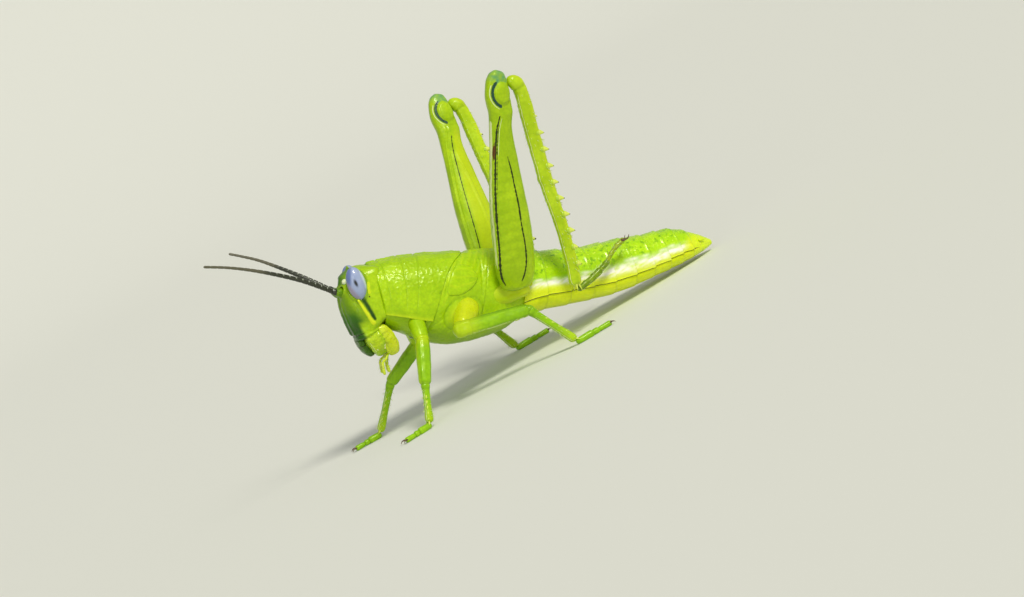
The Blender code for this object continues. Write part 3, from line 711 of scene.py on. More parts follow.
def angle_at_height(height, wanted):
    """The angle where a section reaches a height share."""
    low, high = 0.0, math.pi
    for _ in range(30):
        middle = (low + high) / 2
        low, high = (middle, high) if height(middle) > wanted else (low, middle)
    return low


def trunk_patch(bm, ends, arc, rise, counts, marks=None):
    """A patch of the trunk between two stations. arc(height) gives the angles that
    it lies between at a section, and rise(station, angle, share, point) its relief."""
    sections = {}

    def place(u, v):
        station = ends[0] + (ends[1] - ends[0]) * v
        if station not in sections:
            point, height = trunk_section(station)
            sections[station] = point, height, arc(height, station)
        point, height, (low, high) = sections[station]
        angle = low + (high - low) * u
        share = height(angle)
        base = point(angle)
        found = point(angle, rise(station, angle, share, base))
        return found, marks(station, angle, share, found) if marks else {}

    return surface(bm, *counts, place)


def both_sides(edge):
    """An arc over the back, down to a height share on each side."""
    return lambda height, station: (-angle_at_height(height, edge), angle_at_height(height, edge))


def under_side(edge):
    """An arc under the belly, up to a height share on each side."""

    def arc(height, station):
        low = angle_at_height(height, edge)
        return low, 2 * math.pi - low

    return arc


def whole_ring(height, station):
    """An arc all the way round."""
    return -math.pi, math.pi


def build_pronotum():
    bm = new_mesh()

    def rise(station, angle, share, point):
        furrow = max(hump(station - start - lag * (1 - share), 0.026) for start, lag in SULCI)
        furrow *= step(0.24, 0.34, share)
        crest = 0.16 * hump(angle, 0.055) * (1 - 0.6 * furrow)
        shoulder = 0.05 * hump(abs(angle) - 0.62, 0.10)
        rims = 0.07 * hump(share - LOBE_EDGE, 0.018) - 0.20 * hump(station + 0.10, 0.06)
        grains = 0.065 * max(0.0, rough(point, 0.36)) ** 0.7 * (1 - furrow) * step(0.2, 0.45, share)
        swell = 0.09 * rough(point, 2.2, 3.0) + 0.03 * rough(point, 0.9, 6.0)
        return PRONOTUM_RISE + crest + shoulder + rims + grains + swell - 0.050 * furrow

    def marks(station, angle, share, point):
        # The darkening in the cross furrows is painted shade; the spots near the hind margin are real
        # markings.
        furrow_shade = max(hump(station - start - lag * (1 - share), 0.020) for start, lag in SULCI)
        spots = step(0.15, 0.45, rough(point, 0.7, 2.0)) * hump(station - 2.93, 0.09)
        return {"deep": 0.12 * furrow_shade * step(0.24, 0.34, share) + 0.5 * spots,
                "yellow": 0.35 * hump(share - LOBE_EDGE, 0.03)}

    trunk_patch(bm, (PRONOTUM[0] - 0.10, PRONOTUM[1] + 0.04), both_sides(LOBE_EDGE), rise, (230, 140), marks)
    add_piece("pronotum_shield", bm, GREEN, ["pronotum"], PRONOTUM_WALL, FRONT_CORE)


# The sutures of the side plates behind the pronotum, as lines in x and z, with depth.
SIDE_SUTURES = (
    ((-1.2, 9.6), (1.0, 13.4), 0.08),
    ((0.9, 9.3), (3.4, 12.6), 0.09),
    ((3.4, 8.3), (5.4, 11.0), 0.08),
    ((-5.8, 11.0), (-3.6, 13.6), 0.07),
    ((-9.0, 9.2), (-6.2, 9.6), 0.06),
)
MIDDLE_SOCKET = ((-4.25, 8.95), (2.45, 1.80))  # round the middle coxa: its middle and radii
STREAK_RATE = 9.0  # radians of the fine streaks to a millimetre


def streak(point):
    """The fine slanting streaks above the legs, as a wave, and where they show."""
    return math.sin(STREAK_RATE * (point.x * 0.55 - point.z * 0.83)), step(10.5, 11.5, point.z)


def socket_ring(point):
    """How far out a point is from the middle coxa's socket: 1 on its rim."""
    (x, z), (wide, high) = MIDDLE_SOCKET
    return math.hypot((point.x - x) / wide, (point.z - z) / high)


def side_relief(station, angle, share, point):
    """The relief of the side plates behind the pronotum."""
    flat = Vector((point.x, point.z))
    groove = 0.0
    for start, end, depth in SIDE_SUTURES:
        away, along = off_line(flat, start, end)
        groove = max(groove, 0.8 * depth * hump(away, 0.12))
    ring = socket_ring(point)
    groove = max(groove, 0.06 * hump(ring - 1, 0.05))
    bulge = 0.26 * (1 - step(0.3, 1.0, ring))
    wave, shown = streak(point)
    grains = 0.045 * max(0.0, rough(point, 0.38)) ** 0.7
    return -groove + bulge + grains + 0.012 * wave * shown + 0.08 * rough(point, 1.8, 5.0)


def side_marks(station, angle, share, point):
    """The markings of the side plates behind the pronotum, with painted shade low on their sides."""
    ring = socket_ring(point)
    wave, shown = streak(point)
    streaks = 0.16 * max(0.0, wave) * shown
    rear = 0.5 * step(2.0, 5.0, point.x) * (1 - step(8.5, 10.5, point.z))
    return {"yellow": max(0.5 * (1 - step(0.35, 1.0, ring)), streaks, rear),
            # The deep mark low on the sides is painted shade.
            "deep": max(0.30 * hump(ring - 1, 0.04), 0.30 * (1 - step(0.0, 0.25, share)))}


def build_thorax():
    def under_rise(station, angle, share, point):
        return STERNUM_RISE + 0.05 * rough(point, 0.9)

    def under_marks(station, angle, share, point):
        # Painted shade: darker towards the bottom of the prosternum.
        return {"deep": 0.10 * (1 - step(0.0, 0.2, share))}

    bm = new_mesh()
    ends = (PRONOTUM[0], PRONOTUM[1] + 0.1)
    trunk_patch(bm, ends, under_side(LOBE_EDGE + 0.06), under_rise, (90, 70), under_marks)
    add_piece("prosternum_plate", bm, GREEN, ["prosternum"], THORAX_WALL, FRONT_CORE)
    for name, ends, overlap in (("mesothorax", MESOTHORAX, 0.30), ("metathorax", METATHORAX, 0.02)):
        bm = new_mesh()

        def rise(station, angle, share, point, ends=ends):
            edge = 0.04 * step(ends[1] - 0.12, ends[1] - 0.02, station) * step(0.3, 0.5, share)
            low = 1 - step(0.25, 0.55, share)
            edge -= low * (0.38 * step(METATHORAX[1] - 1.2, METATHORAX[1] - 0.1, station)
                           + 0.30 * step(METATHORAX[1] - 0.15, METATHORAX[1] + 0.05, station))
            return side_relief(station, angle, share, point) + edge - 0.10 * hump(station - ends[0], 0.06)

        trunk_patch(bm, (ends[0] - overlap, ends[1] + 0.05), whole_ring, rise, (260, 90), side_marks)
        add_piece(name + "_plates", bm, GREEN, [name], THORAX_WALL, REAR_CORE)


def build_wing_pads():
    low, high = (math.radians(angle) for angle in WING_PAD_ARC)
    middle, half = (low + high) / 2, (high - low) / 2
    for name, side in SIDES.items():
        bm = new_mesh()

        def place(u, v, side=side):
            across, along = math.cos(2 * math.pi * u), v
            spread = (1 - 0.80 * along**3) * math.sqrt(max(0.0, 1 - (2 * along - 1) ** 12))
            station = WING_PAD_REACH[0] + (WING_PAD_REACH[1] - WING_PAD_REACH[0]) * along
            angle = side * (middle + half * spread * across)
            outer = math.sin(2 * math.pi * u)
            body = math.sqrt(max(0.0, 1 - across**8)) * math.sqrt(max(0.0, 1 - (2 * along - 1) ** 12))
            waver = 0.8 * rough(Vector((3 * along, across, 0)), 0.7)
            veins = max(0.0, math.cos(11 * across + 2.0 * along + waver))
            half_thick = WING_PAD_THICKNESS / 2
            skin = math.copysign(half_thick, outer) + 0.03 * veins**3 * (outer > 0)
            lift = -0.03 + half_thick + skin * body
            return trunk_section(station)[0](angle, lift), {"yellow": 0.16 * veins**2}

        surface(bm, 96, 60, place)
        add_piece("wing_bud_" + name, bm, GREEN, ["wing_pad_" + name])


def yellow_and_highlight_band(station):
    """The band along the abdomen's side: how far above the plates' edge its
    yellow lower part reaches, and half the width of its white upper part, a painted highlight."""
    return 0.15 - 0.07 * step(8, 14, station), 0.045 + 0.04 * step(8, 12, station)


def yellow_side(station, above):
    """How yellow the abdomen's side is at a height share above the plates' edge."""
    top, band = yellow_and_highlight_band(station)
    top += 0.35 * step(15.0, 18.0, station)
    fade = 2.4 * band + 0.75 * step(15, 17.5, station)
    return (0.90 - 0.25 * step(15.5, 17.5, station)) * (1 - step(top, top + fade, above))


def build_abdomen():
    front_rise, hind_rise = TERGITE_RISE
    for number in range(1, ABDOMEN_SEGMENTS + 1):
        start = ABDOMEN_START + number - 1
        edge = TERGITE_EDGE + 0.05 * step(6, 9, number)
        ends = (start - 0.35 * (number == 1), start + 1.05)

        def upper_rise(station, angle, share, point, start=start, edge=edge):
            part = station - start
            lap = front_rise + (hind_rise - front_rise) * part
            lip = 0.03 * hump(part - 0.97, 0.05) + 0.05 * hump(share - edge, 0.02)
            crest = 0.06 * hump(angle, 0.06)
            fold = 0.05 * hump(share - edge - 0.20, 0.035) - 0.05 * hump(share - edge - 0.11, 0.06)
            grains = 0.035 * max(0.0, rough(point, 0.3)) + 0.05 * rough(point, 1.2, 2.0)
            return lap + lip + crest - fold + grains

        def upper_marks(station, angle, share, point, start=start, edge=edge):
            top, band = yellow_and_highlight_band(station)
            above = share - edge
            # The white streaks above the yellow are a painted highlight, broken up by noise.
            drawn = Vector((0.30 * point.x, point.y, point.z))
            highlight_breaks = 0.80 + 0.40 * rough(point, 2.6, 8.0) + 0.80 * rough(drawn, 0.26, 4.0)
            highlight_wisp = 1.2 * hump(above - top - 2.5 * band, 0.4 * band) * max(0.0, rough(point, 1.2, 3.0))
            pale = min(1.0, highlight_breaks * hump(above - top - band, band) + highlight_wisp)
            return {
                "yellow": yellow_side(station, above),
                "pale": pale * (1 - step(14.8, 16.0, station)),
                # The thin dark line at the plates' lower edge is painted shade in the fold under them.
                "dark": mark(share - edge, 0.008),
                "deep": 0.25 * hump(station - start - 0.995, 0.02),
                "tip": step(edge + 0.24, edge + 0.44, share) * (1 - step(15, 17.5, station)),
            }

        bm = new_mesh()
        trunk_patch(bm, ends, both_sides(edge), upper_rise, (190, 28), upper_marks)
        add_piece(f"tergite_{number}", bm, UPPER, [f"abdomen_{number}"],
                  ABDOMEN_WALL, TERGITE_CORE)

        def lower_rise(station, angle, share, point, start=start, edge=edge):
            part = station - start
            lap = STERNITE_RISE[0] + (STERNITE_RISE[1] - STERNITE_RISE[0]) * part
            return lap + 0.01 * hump(part - 0.97, 0.05) - 0.10 * step(edge - 0.04, edge + 0.02, share)

        def lower_marks(station, angle, share, point, start=start):
            return {"deep": 0.14 * hump(station - start - 0.99, 0.03)}

        bm = new_mesh()
        trunk_patch(bm, ends, under_side(edge + 0.02), lower_rise, (90, 20), lower_marks)
        add_piece(f"sternite_{number}", bm, UNDER, [], ABDOMEN_WALL, STERNITE_CORE)


def build_tail():
    bm = new_mesh()
    ends = (TAIL[0], TAIL[1] - 0.04)
    edge = TERGITE_EDGE + 0.05

    def rise(station, angle, share, point):
        part = (station - ends[0]) / (ends[1] - ends[0])
        ring = 0.04 * hump(part - 0.42, 0.03)
        fold = 0.07 * hump(share - edge - 0.05, 0.03)
        return TERGITE_RISE[0] + 0.05 - ring - fold + 0.02 * max(0.0, rough(point, 0.3))

    def marks(station, angle, share, point):
        part = (station - ends[0]) / (ends[1] - ends[0])
        # The dark line continuing the plates' edge is painted shade in the fold.
        fold_shade = mark(share - edge - 0.04 * part, 0.010) * (1 - step(0.6, 0.8, part))
        return {"yellow": yellow_side(station, share - edge), "dark": max(fold_shade, 0.55 * (part > 0.975))}

    sections = {}

    def place(u, v):
        station = ends[0] + (ends[1] - ends[0]) * v
        if station not in sections:
            sections[station] = trunk_section(station)
        point, height = sections[station]
        angle = 2 * math.pi * u
        base = point(angle)
        found = point(angle, rise(station, angle, height(angle), base))
        close = math.sqrt(max(0.0, 1 - step(0.9, 1.0, v)))
        middle = point(0).lerp(point(math.pi), 0.5)
        found = middle + (found - middle) * close
        return found, marks(station, angle, height(angle), found)

    surface(bm, 96, 60, place)
    for side in SIDES.values():
        line = Line([at(point, side) for point in CERCUS])
        tube(bm, line, round_shape(lambda d: 0.17 - 0.11 * d), 14, 12,
             lambda d, c, s, point: {"yellow": 0.65}, rounding=(0.2, 0.08))
    add_piece("abdomen_end", bm, UPPER, ["abdomen_tip"])


def build_body_skin():
    """The soft skin between the plates, from inside the head to the tail."""

    def neck_shape(distance, c, s):
        fold = 0.12 * math.cos(9 * distance)
        return (2.9 + fold) * c, (2.55 + fold) * s

    bm = new_mesh()
    trunk_patch(bm, (0.0, 16.5), whole_ring, lambda station, angle, share, point: SKIN_RISE, (60, 160))
    bmesh.ops.remove_doubles(bm, verts=bm.verts, dist=MERGE * MM)
    bmesh.ops.holes_fill(bm, edges=bm.edges)
    neck = Line([Vector((-13.2, 0, 15.2)), Vector((-11.5, 0, 14.9)), Vector((-9.5, 0, 14.6))])
    tube(bm, neck, neck_shape, 48, 40)
    add_piece("body_skin", bm, SKIN)


build_pronotum()
build_thorax()
build_wing_pads()
build_abdomen()
build_tail()
build_body_skin()


# The head.


def turned(point):
    """A point of a head held straight, turned about the neck."""
    return Matrix.Rotation(math.radians(HEAD_TURN), 3, "Z") @ (point - Vector(NECK)) + Vector(NECK)


def unturned(point):
    """A point of the turned head, as on a head held straight."""
    return Matrix.Rotation(-math.radians(HEAD_TURN), 3, "Z") @ (point - Vector(NECK)) + Vector(NECK)


def eye_distance(point):
    """How far out a point of the straight head is from the near eye's middle: 1 on its surface."""
    x, z, out = EYE_CENTRE
    lean = math.tan(math.radians(EYE_LEAN)) * (point.z - z)
    offset = (point.x - lean - x, abs(point.y) - out, point.z - z)
    return math.sqrt(sum((way / radius) ** 2 for way, radius in zip(offset, EYE_RADII)))


# Where the feelers are set in, and the marks beside the eye as lines in x and z:
# the yellow stripe, the dark one behind it, and the short one behind the eye.
SOCKETS = [unturned(Vector(points[0])) for points in ANTENNAE.values()]
STRIPE = ((-13.46, 16.10), (-13.16, 13.05))
SHADOW = ((-12.93, 16.25), (-12.80, 13.35))
FLASH = ((-11.50, 17.30), (-11.95, 16.30))


def head_relief(point, c):
    """How far the head's surface stands out from its plain form at a point."""
    out = 0.0
    y, z = point.y, point.z
    if c > 0:
        ridge_half = 0.52 + 0.10 * hump(z - 17.6, 0.9)
        t = abs(y) / ridge_half
        fade = step(12.3, 12.9, z) * (1 - step(18.6, 19.3, z))
        out += (0.17 * (1 - step(0.80, 1.35, t)) - 0.12 * (1 - step(0.0, 0.75, t))) * fade
        side_ridge = 1.80 - 0.10 * (z - 12.3)
        out += 0.12 * hump(abs(y) - side_ridge, 0.15) * step(12.3, 12.8, z) * (1 - step(16.4, 17.0, z))
        out -= 0.14 * hump(z - 12.55, 0.11) * (1 - step(2.0, 2.6, abs(y)))
        out += 0.58 * hump(y, 1.10) * hump(z - 19.34, 0.46) * step(0.2, 0.8, c)
    for socket in SOCKETS:
        away = math.hypot(y - socket.y, z - socket.z)
        if c > 0 and away < 1.4:
            out += 0.14 * hump(away - 0.60, 0.11) - 0.25 * (1 - step(0.3, 0.55, away))
    flat = Vector((point.x, z))
    if abs(y) > 1.8:
        away, _ = off_line(flat, *STRIPE)
        out -= 0.10 * hump(away - 0.28, 0.10) * step(12.6, 13.2, z)
        out += 0.06 * hump(away, 0.22)
        away, _ = off_line(flat, *SHADOW)
        out -= 0.08 * hump(away, 0.25)
        out += 0.10 * hump(z - 12.10, 0.16)
        out += 0.06 * hump(point.x - (-11.75 - 0.13 * (18.0 - z)), 0.20)
        out += 0.07 * rough(point, 0.5, 3.0) * (1 - step(12.8, 13.8, z))
    rim = eye_distance(point)
    out += 0.15 * hump(rim - 1.10, 0.10)
    out -= 0.35 * (1 - step(0.70, 1.0, rim))
    return out


def head_marks(point, c):
    """The face is dark green in front, partly its own colour and partly painted
    shade, and lime on the cheeks, with a yellow stripe and a dark one under the eye."""
    y, z = point.y, point.z
    flat = Vector((point.x, z))
    stripe = shadow = flash = 0.0
    side = step(1.2, 1.8, abs(y))
    if z > 12:
        away, along = off_line(flat, *STRIPE)
        stripe = mark(away, 0.12 + 0.15 * along) * side
        away, along = off_line(flat, *SHADOW)
        shadow = (1 - step(0.10, 0.44 - 0.18 * along, away + 0.06 * rough(point, 0.5))) * side
        away, _ = off_line(flat, *FLASH)
        flash = mark(away, 0.15) * side
    (top_x, top_z), (low_x, low_z) = STRIPE
    stripe_x = top_x + (low_x - top_x) * (top_z - z) / (top_z - low_z)
    ahead = stripe_x - point.x
    behind_eye = step(17.6, 18.6, z) * (1 - step(0.0, 0.4, c))
    # front: the face's dark green, partly its own colour and partly painted shade on the side away from the
    # light.
    front = step(0.05, 0.35, ahead) * (0.48 + 0.52 * step(0.5, 1.5, ahead)) * (1 - behind_eye)
    front *= 1 - 0.35 * step(14.4, 16.4, z + 0.5 * rough(point, 0.9)) - 0.10 * step(17.0, 18.2, z)
    front *= 1 - (1 - step(13.1, 14.1, z + 0.3 * rough(point, 0.7))) * step(-14.95, -14.45, point.x)
    spot = mark(math.hypot(point.x + 12.15, z - 15.9), 0.10) * side
    furrow = mark(z - 12.52, 0.05) if c > 0.2 and point.x < -14.6 else 0.0
    rim = 0.6 * hump(eye_distance(point) - 1.13, 0.08)
    between = step(0.0, 0.4, c) * hump(y, 1.9) * step(18.1, 18.6, z) * (1 - step(19.55, 19.8, z))
    # low: the front darker still low down, partly its own colour and partly painted shade.
    low = 0.6 * front * (1 - step(13.2, 15.0, z + 0.4 * rough(point, 0.8)))
    return {"deep": max(front, rim, between), "pale": max(stripe, flash), "teal": max(shadow, low),
            "dark": 0.8 * furrow, "tip": spot}


def build_head():
    rows = len(HEAD) - 1
    bm = new_mesh()

    def place(u, v):
        even = 0.7 * v + 0.3 * (1 - math.cos(math.pi * v)) / 2
        z, front, back, half_width = curve_through(HEAD, even * rows)
        back += HEAD_TUCK * step(12.2, 13.2, z) * (1 - step(18.0, 19.6, z))
        angle = 2 * math.pi * u
        c, s = math.cos(angle), math.sin(angle)
        half_depth = (back - front) / 2
        middle = Vector(((front + back) / 2, 0, z))
        rear = step(0.0, 0.9, -c)
        point = middle + Vector((-half_depth * squared(c, 0.8 - 0.2 * rear),
                                 max(half_width, 0.0) * squared(s, 0.8 - 0.45 * rear), 0))
        outward = Vector((0, 0, 1))
        if half_width > 0.1:
            outward = Vector((-c * half_width, s * half_depth, 0)).normalized()
        point += outward * head_relief(point, c) * step(0.0, 0.04, v) * step(0.0, 0.04, 1 - v)
        point += outward * 0.035 * max(0.0, rough(point, 0.35))
        return turned(point), head_marks(point, c)

    surface(bm, 240, 180, place)
    for side in SIDES.values():
        socket = Vector((OCELLUS[0], side * OCELLUS[1], OCELLUS[2]))
        for vert in bmesh.ops.create_uvsphere(bm, u_segments=24, v_segments=16, radius=OCELLUS[3])["verts"]:
            vert.co = turned(socket + vert.co) * MM
            vert[bm.verts.layers.float["yellow"]] = 0.9
    add_piece("head_capsule", bm, FACE, ["head"])


def build_eyes():
    x, z, out = EYE_CENTRE
    lean = math.tan(math.radians(EYE_LEAN))
    for name, side in SIDES.items():
        bm = new_mesh()
        verts = bmesh.ops.create_uvsphere(bm, u_segments=96, v_segments=64, radius=1.0)["verts"]
        layers = {kind: bm.verts.layers.float[kind] for kind in MARKS}
        for vert in verts:
            unit = vert.co.copy()
            local = Vector((unit.x * EYE_RADII[0], unit.y * EYE_RADII[1], unit.z * EYE_RADII[2]))
            high = (local.z - 0.15) / 0.38
            slit = math.hypot((local.x + 0.10) / 0.15 + 0.25 * high, high)
            outer = unit.y * side
            vert[layers["dark"]] = max(0.0, 1 - slit / 2) if outer > 0 else 0.0
            vert[layers["teal"]] = max(0.0, 0.75 - slit / 4) if outer > 0 else 0.0
            vert[layers["deep"]] = step(0.3, 1.1, -unit.x - 0.6 * unit.z)
            # The darker blue on the eye's front and top is painted shade, and the paler rear is painted
            # light.
            vert[layers["yellow"]] = step(0.3, 1.2, -unit.x + 0.8 * unit.z)
            vert[layers["pale"]] = step(0.45, 1.0, unit.x)
            local.x += lean * local.z
            vert.co = turned(local + Vector((x, side * out, z))) * MM
        add_piece("compound_eye_" + name, bm, EYE, ["eye_" + name])


def stack(bm, rows, sides, square, marks=None, around=96, along=64, flutes=0.0):
    """A closed stack of level ovals from rows of height, front, back and the two
    sides, with lumps and, where flutes is more than 0, upright grooves."""

    def place(u, v):
        even = 0.5 * v + 0.5 * (1 - math.cos(math.pi * v)) / 2
        z, front, back, inner, outer = curve_through(rows, even * (len(rows) - 1))
        angle = 2 * math.pi * u
        c, s = math.cos(angle), math.sin(angle)
        ends = math.sqrt(max(0.0, 1 - (2 * even - 1) ** 8))
        centre = Vector(((front + back) / 2, (inner + outer) / 2, z))
        half_depth, half_width = (back - front) / 2, (outer - inner) / 2
        offset = Vector((-half_depth * squared(c, square), half_width * squared(s, square), 0))
        lumps = 1 + 0.07 * rough(centre + offset, 0.60) + 0.06 * rough(centre + offset, 0.30)
        lumps += flutes * math.cos(9 * angle + 1.2 * rough(centre, 0.9))
        point = centre + offset * ends * lumps
        point.y *= sides
        return turned(point), marks(point, even) if marks else {}

    return surface(bm, around, along, place)


def paired(rows):
    """Rows for stack() from rows that end with half the width."""
    return [(z, front, back, -half, half) for z, front, back, half in rows]


# Where the lip lies against the jaw, as the x and z of its two ends.
LIP_SEAM = ((-14.72, 12.0), (-14.40, 9.8))


def build_mouth():
    bm = new_mesh()
    stack(bm, paired(LABRUM), 1, 0.75, lambda point, v: {"dark": 0.8 * mark(v - 0.36, 0.02)})
    add_piece("lip", bm, LIP, ["clypeus_labrum"])
    bm = new_mesh()
    stack(bm, paired(LABIUM), 1, 0.75)
    add_piece("lower_lip", bm, JAW, ["labium"])

    def jaw_marks(point, v):
        away, _ = off_line(Vector((point.x, point.z)), *LIP_SEAM)
        return {"tip": mark(v - 1.0, 0.06), "deep": 0.5 * step(-14.6, -15.0, point.x),
                "pale": 0.8 * mark(away, 0.035 + 0.06 * rough(point, 0.45)) * (0.30 < v < 0.75)}

    def under_jaw_marks(point, v):
        return {"deep": 0.3 * hump(v - 0.3, 0.03) + 0.3 * hump(v - 0.62, 0.03),
                "yellow": 0.5 * step(-12.9, -12.2, point.x)}

    for name, side in SIDES.items():
        bm = new_mesh()
        stack(bm, MANDIBLE, side, 0.6, jaw_marks)
        add_piece("jaw_" + name, bm, CHEEK, ["mandible_" + name])
        bm = new_mesh()
        stack(bm, MAXILLA, side, 0.6, under_jaw_marks, flutes=0.05)
        add_piece("under_jaw_" + name, bm, JAW, ["maxilla_" + name])
        for palp, points in PALPS.items():
            line = Line([turned(at((x, out, z), side)) for x, z, out in points])
            bm = new_mesh()

            def radius(distance, length=line.length, joints=PALP_JOINTS[palp]):
                share = distance / length * joints
                pinch = abs(share - round(share)) if 0.2 < share < joints - 0.2 else 1.0
                return PALP_RADIUS * (0.86 + 0.2 * distance / length) * (1 - 0.30 * hump(pinch, 0.07))

            tube(bm, line, round_shape(radius), 28, 72, rounding=(0.2, 0.23))
            BRISTLES.append((line, round_shape(radius), (0.3, 1.0), (0, 360), 14))
            add_piece(f"{palp}_joints_{name}", bm, JAW, [f"{palp}_{name}"])


def build_antennae():
    for name, points in ANTENNAE.items():
        line = Line([Vector(point) for point in points])
        bm = new_mesh()
        scape = (Vector(points[1]) - Vector(points[0])).length
        pitch = (line.length - scape) / FEELER_JOINTS

        def joint(distance, scape=scape, pitch=pitch):
            along = (distance - scape) / pitch
            return abs(along - round(along)) * pitch if distance > scape * 0.9 else 9.0

        def radius(distance, length=line.length, scape=scape, joint=joint):
            if distance < scape:
                return 0.40 - 0.10 * step(0.75 * scape, scape, distance)
            taper = 0.29 - 0.14 * step(0.0, 1.0, (distance - scape) / (length - scape))
            return taper * (1 - 0.20 * hump(joint(distance), 0.06))

        def marks(distance, c, s, point, scape=scape, joint=joint, length=line.length):
            share = distance / length
            near = 1 - step(0.25, 0.5, share)
            dots = 0.95 * hump(joint(distance), 0.08) * step(-0.35, 0.7, c)
            dots *= 1 - 0.6 * step(0.35, 0.7, share)
            top = 0.62 * near * step(0.45, 0.95, c) * (0.85 + 0.4 * rough(point, 0.3))
            return {"pale": max(dots, top), "deep": 0.9 * step(0.30, 0.8, share)}

        tube(bm, line, round_shape(radius), 20, 400, marks, rounding=(0.15, 0.22))
        add_piece("feeler_" + name, bm, WHIP, ["antenna_" + name])
        bm = new_mesh()
        base, way = line.at(0)
        socket = Line([base - way * 0.45, base + way * 0.10, base + way * 0.50])
        tube(bm, socket, round_shape(lambda d: 0.56 - 0.12 * step(0.3, 0.9, d)), 28, 24,
             lambda d, c, s, point: {"deep": 0.75 + 0.3 * rough(point, 0.3)}, rounding=(0.2, 0.14))
        add_piece("feeler_socket_" + name, bm, FACE)


build_head()
build_eyes()
build_mouth()
build_antennae()


# The legs.


def limb_shape(line, rows, scale=1.0, square=0.9, first=0.0, last=1.0, extra=None):
    """A shape for tube() from a limb's rows, between two shares of its length."""

    def shape(distance, c, s):
        share = first + (last - first) * distance / line.length
        found = row_at(rows, share)
        behind, ahead, thick = found if len(found) == 3 else (found[0], found[0], found[1])
        more = extra(distance, c, s) if extra else 0.0
        up = (behind if c > 0 else ahead) * scale + more
        return up * squared(c, square), (thick * scale + more) * squared(s, square)

    return shape


def cone(bm, start, tip, radius, around=8, along=6, bend=None, marks=None, taper=1.0):
    """A pointed spine, claw or hair, with a rounded root."""
    middle = start.lerp(tip, 0.5) + (bend if bend else Vector())
    line = Line([start, middle, tip], 6)
    side = (0, 1, 0) if abs((tip - start).normalized().y) < 0.9 else (1, 0, 0)
    shape = round_shape(lambda d: radius * (0.10 + 0.90 * max(0.0, 1 - d / line.length) ** taper))
    return tube(bm, line, shape, around, along, marks, side, rounding=(radius * 0.5, radius * 0.2))


def tip_marks(length):
    """Marks the last of a spine as a horn tip."""
    return lambda distance, c, s, point: {"tip": step(0.88 * length, 1.02 * length, distance)}


def spine_marks(length):
    """Marks a spine's root, which has the shin's green, and its horn tip."""
    return lambda distance, c, s, point: {"deep": 1 - step(0.05 * length, 0.75 * length, distance),
                                          "tip": step(0.80 * length, 1.05 * length, distance)}


def build_claws(bm, toe, heading, side_way, down, size=1.0):
    """A pair of curved claws."""
    for way in (-1, 1):
        start = toe + side_way * 0.12 * way
        tip = toe + (heading * 0.85 + side_way * 0.42 * way + down * 0.16) * size
        bend = (heading * 0.10 - down * 0.18 + side_way * 0.14 * way) * size
        cone(bm, start, tip, 0.15 * size, 12, 12, bend)


def foot_joint(bm, start, end, high, wide):
    """A joint of a standing foot, cut flat where it meets the floor."""
    line = Line([start, start.lerp(end, 0.5), end], 6)

    def shape(distance, c, s):
        share = distance / line.length
        bulge = 0.86 + 0.22 * share - 0.10 * hump(share - 0.1, 0.1)
        return high * bulge * squared(c, 0.9), wide * bulge * squared(s, 0.9)

    for vert in tube(bm, line, shape, 28, 24, rounding=(0.3, 0.3)):
        vert.co.z = max(vert.co.z, 0.0)


def build_bristles():
    """The short stiff hairs of the limbs, each a solid cone. In the map OFBake
    each hair is a small patch at its root's place on its limb, unrolled."""
    bm = new_mesh()
    unrolled = bm.loops.layers.uv.new("OFBake")
    dice = random.Random(BRISTLE_SEED)
    for strip, (line, shape, along, around, count) in enumerate(BRISTLES):
        for _ in range(count):
            share, turn = dice.uniform(*along), dice.uniform(*around)
            point, forward, sideways, up = limb_frame(line, share * line.length, Vector((0, 1, 0)))
            angle = math.radians(turn)
            up_by, across_by = shape(share * line.length, math.cos(angle), math.sin(angle))
            out = up * up_by + sideways * across_by
            reach = BRISTLE_LENGTH * dice.uniform(0.6, 1.2)
            root = point + out * 0.92
            tip = point + out + out.normalized() * reach * 0.8 + forward * reach * 0.6
            left = (strip + turn % 360 / 360) / len(BRISTLES)
            bottom = share * (1 - PATCH)
            for vert in cone(bm, root, tip, 0.030, 5, 4):
                for loop in vert.link_loops:
                    corner = loop.face.loops[:].index(loop)
                    across, over = (corner + 1) // 2 % 2, corner // 2
                    loop[unrolled].uv = (left + PATCH * across, bottom + PATCH * over)
    add_piece("bristles", bm, HAIR)


class StandingLeg:
    """The joints of a front or middle leg, and the ways that its parts run."""

    def __init__(self, row, name, side):
        self.row, self.side = row, side
        self.label = f"{row}_{name}"
        self.middle = row == "middle"
        self.scale = SLIM_SCALE[row]
        joints = {joint: at(point, side) for joint, point in STANDING_LEGS[row][name].items()}
        self.coxa, self.hip, self.knee = joints["coxa"], joints["hip"], joints["knee"]
        self.ankle, self.toe = joints["ankle"], joints["toe"]
        self.way = (self.knee - self.hip).normalized()
        self.down = (self.ankle - self.knee).normalized()
        heading = self.toe - self.ankle
        heading.z = 0.0
        self.heading = heading.normalized()
        self.across = self.heading.cross(Vector((0, 0, 1))).normalized()
        self.heel = self.ankle + self.heading * 0.12 + self.down * 0.42
        self.heel.z = HEEL_HEIGHT


def build_standing_coxa(leg):
    inner, outer = leg.coxa, leg.hip - leg.way * 0.7
    if not leg.middle:
        inner, outer = inner + Vector((0.7, -0.1 * leg.side, 1.0)), leg.hip + leg.way * 0.25
    line = Line([inner, inner.lerp(outer, 0.5), outer])
    radius = COXA_RADIUS[leg.row]
    shape = limb_shape(line, COXA if leg.middle else HIP, radius, 0.9,
                       extra=lambda d, c, s: 0.09 * rough(Vector((0.4 * d, c, s)), 0.9))
    bm = new_mesh()
    tube(bm, line, shape, 48, 60, lambda d, c, s, point: {"yellow": 0.2 * leg.middle},
         rounding=(0.2, 0.35 * radius))
    look = AMBER if leg.middle else GREEN
    add_piece("coxa_plate_" + leg.label, bm, look, ["coxa_" + leg.label])


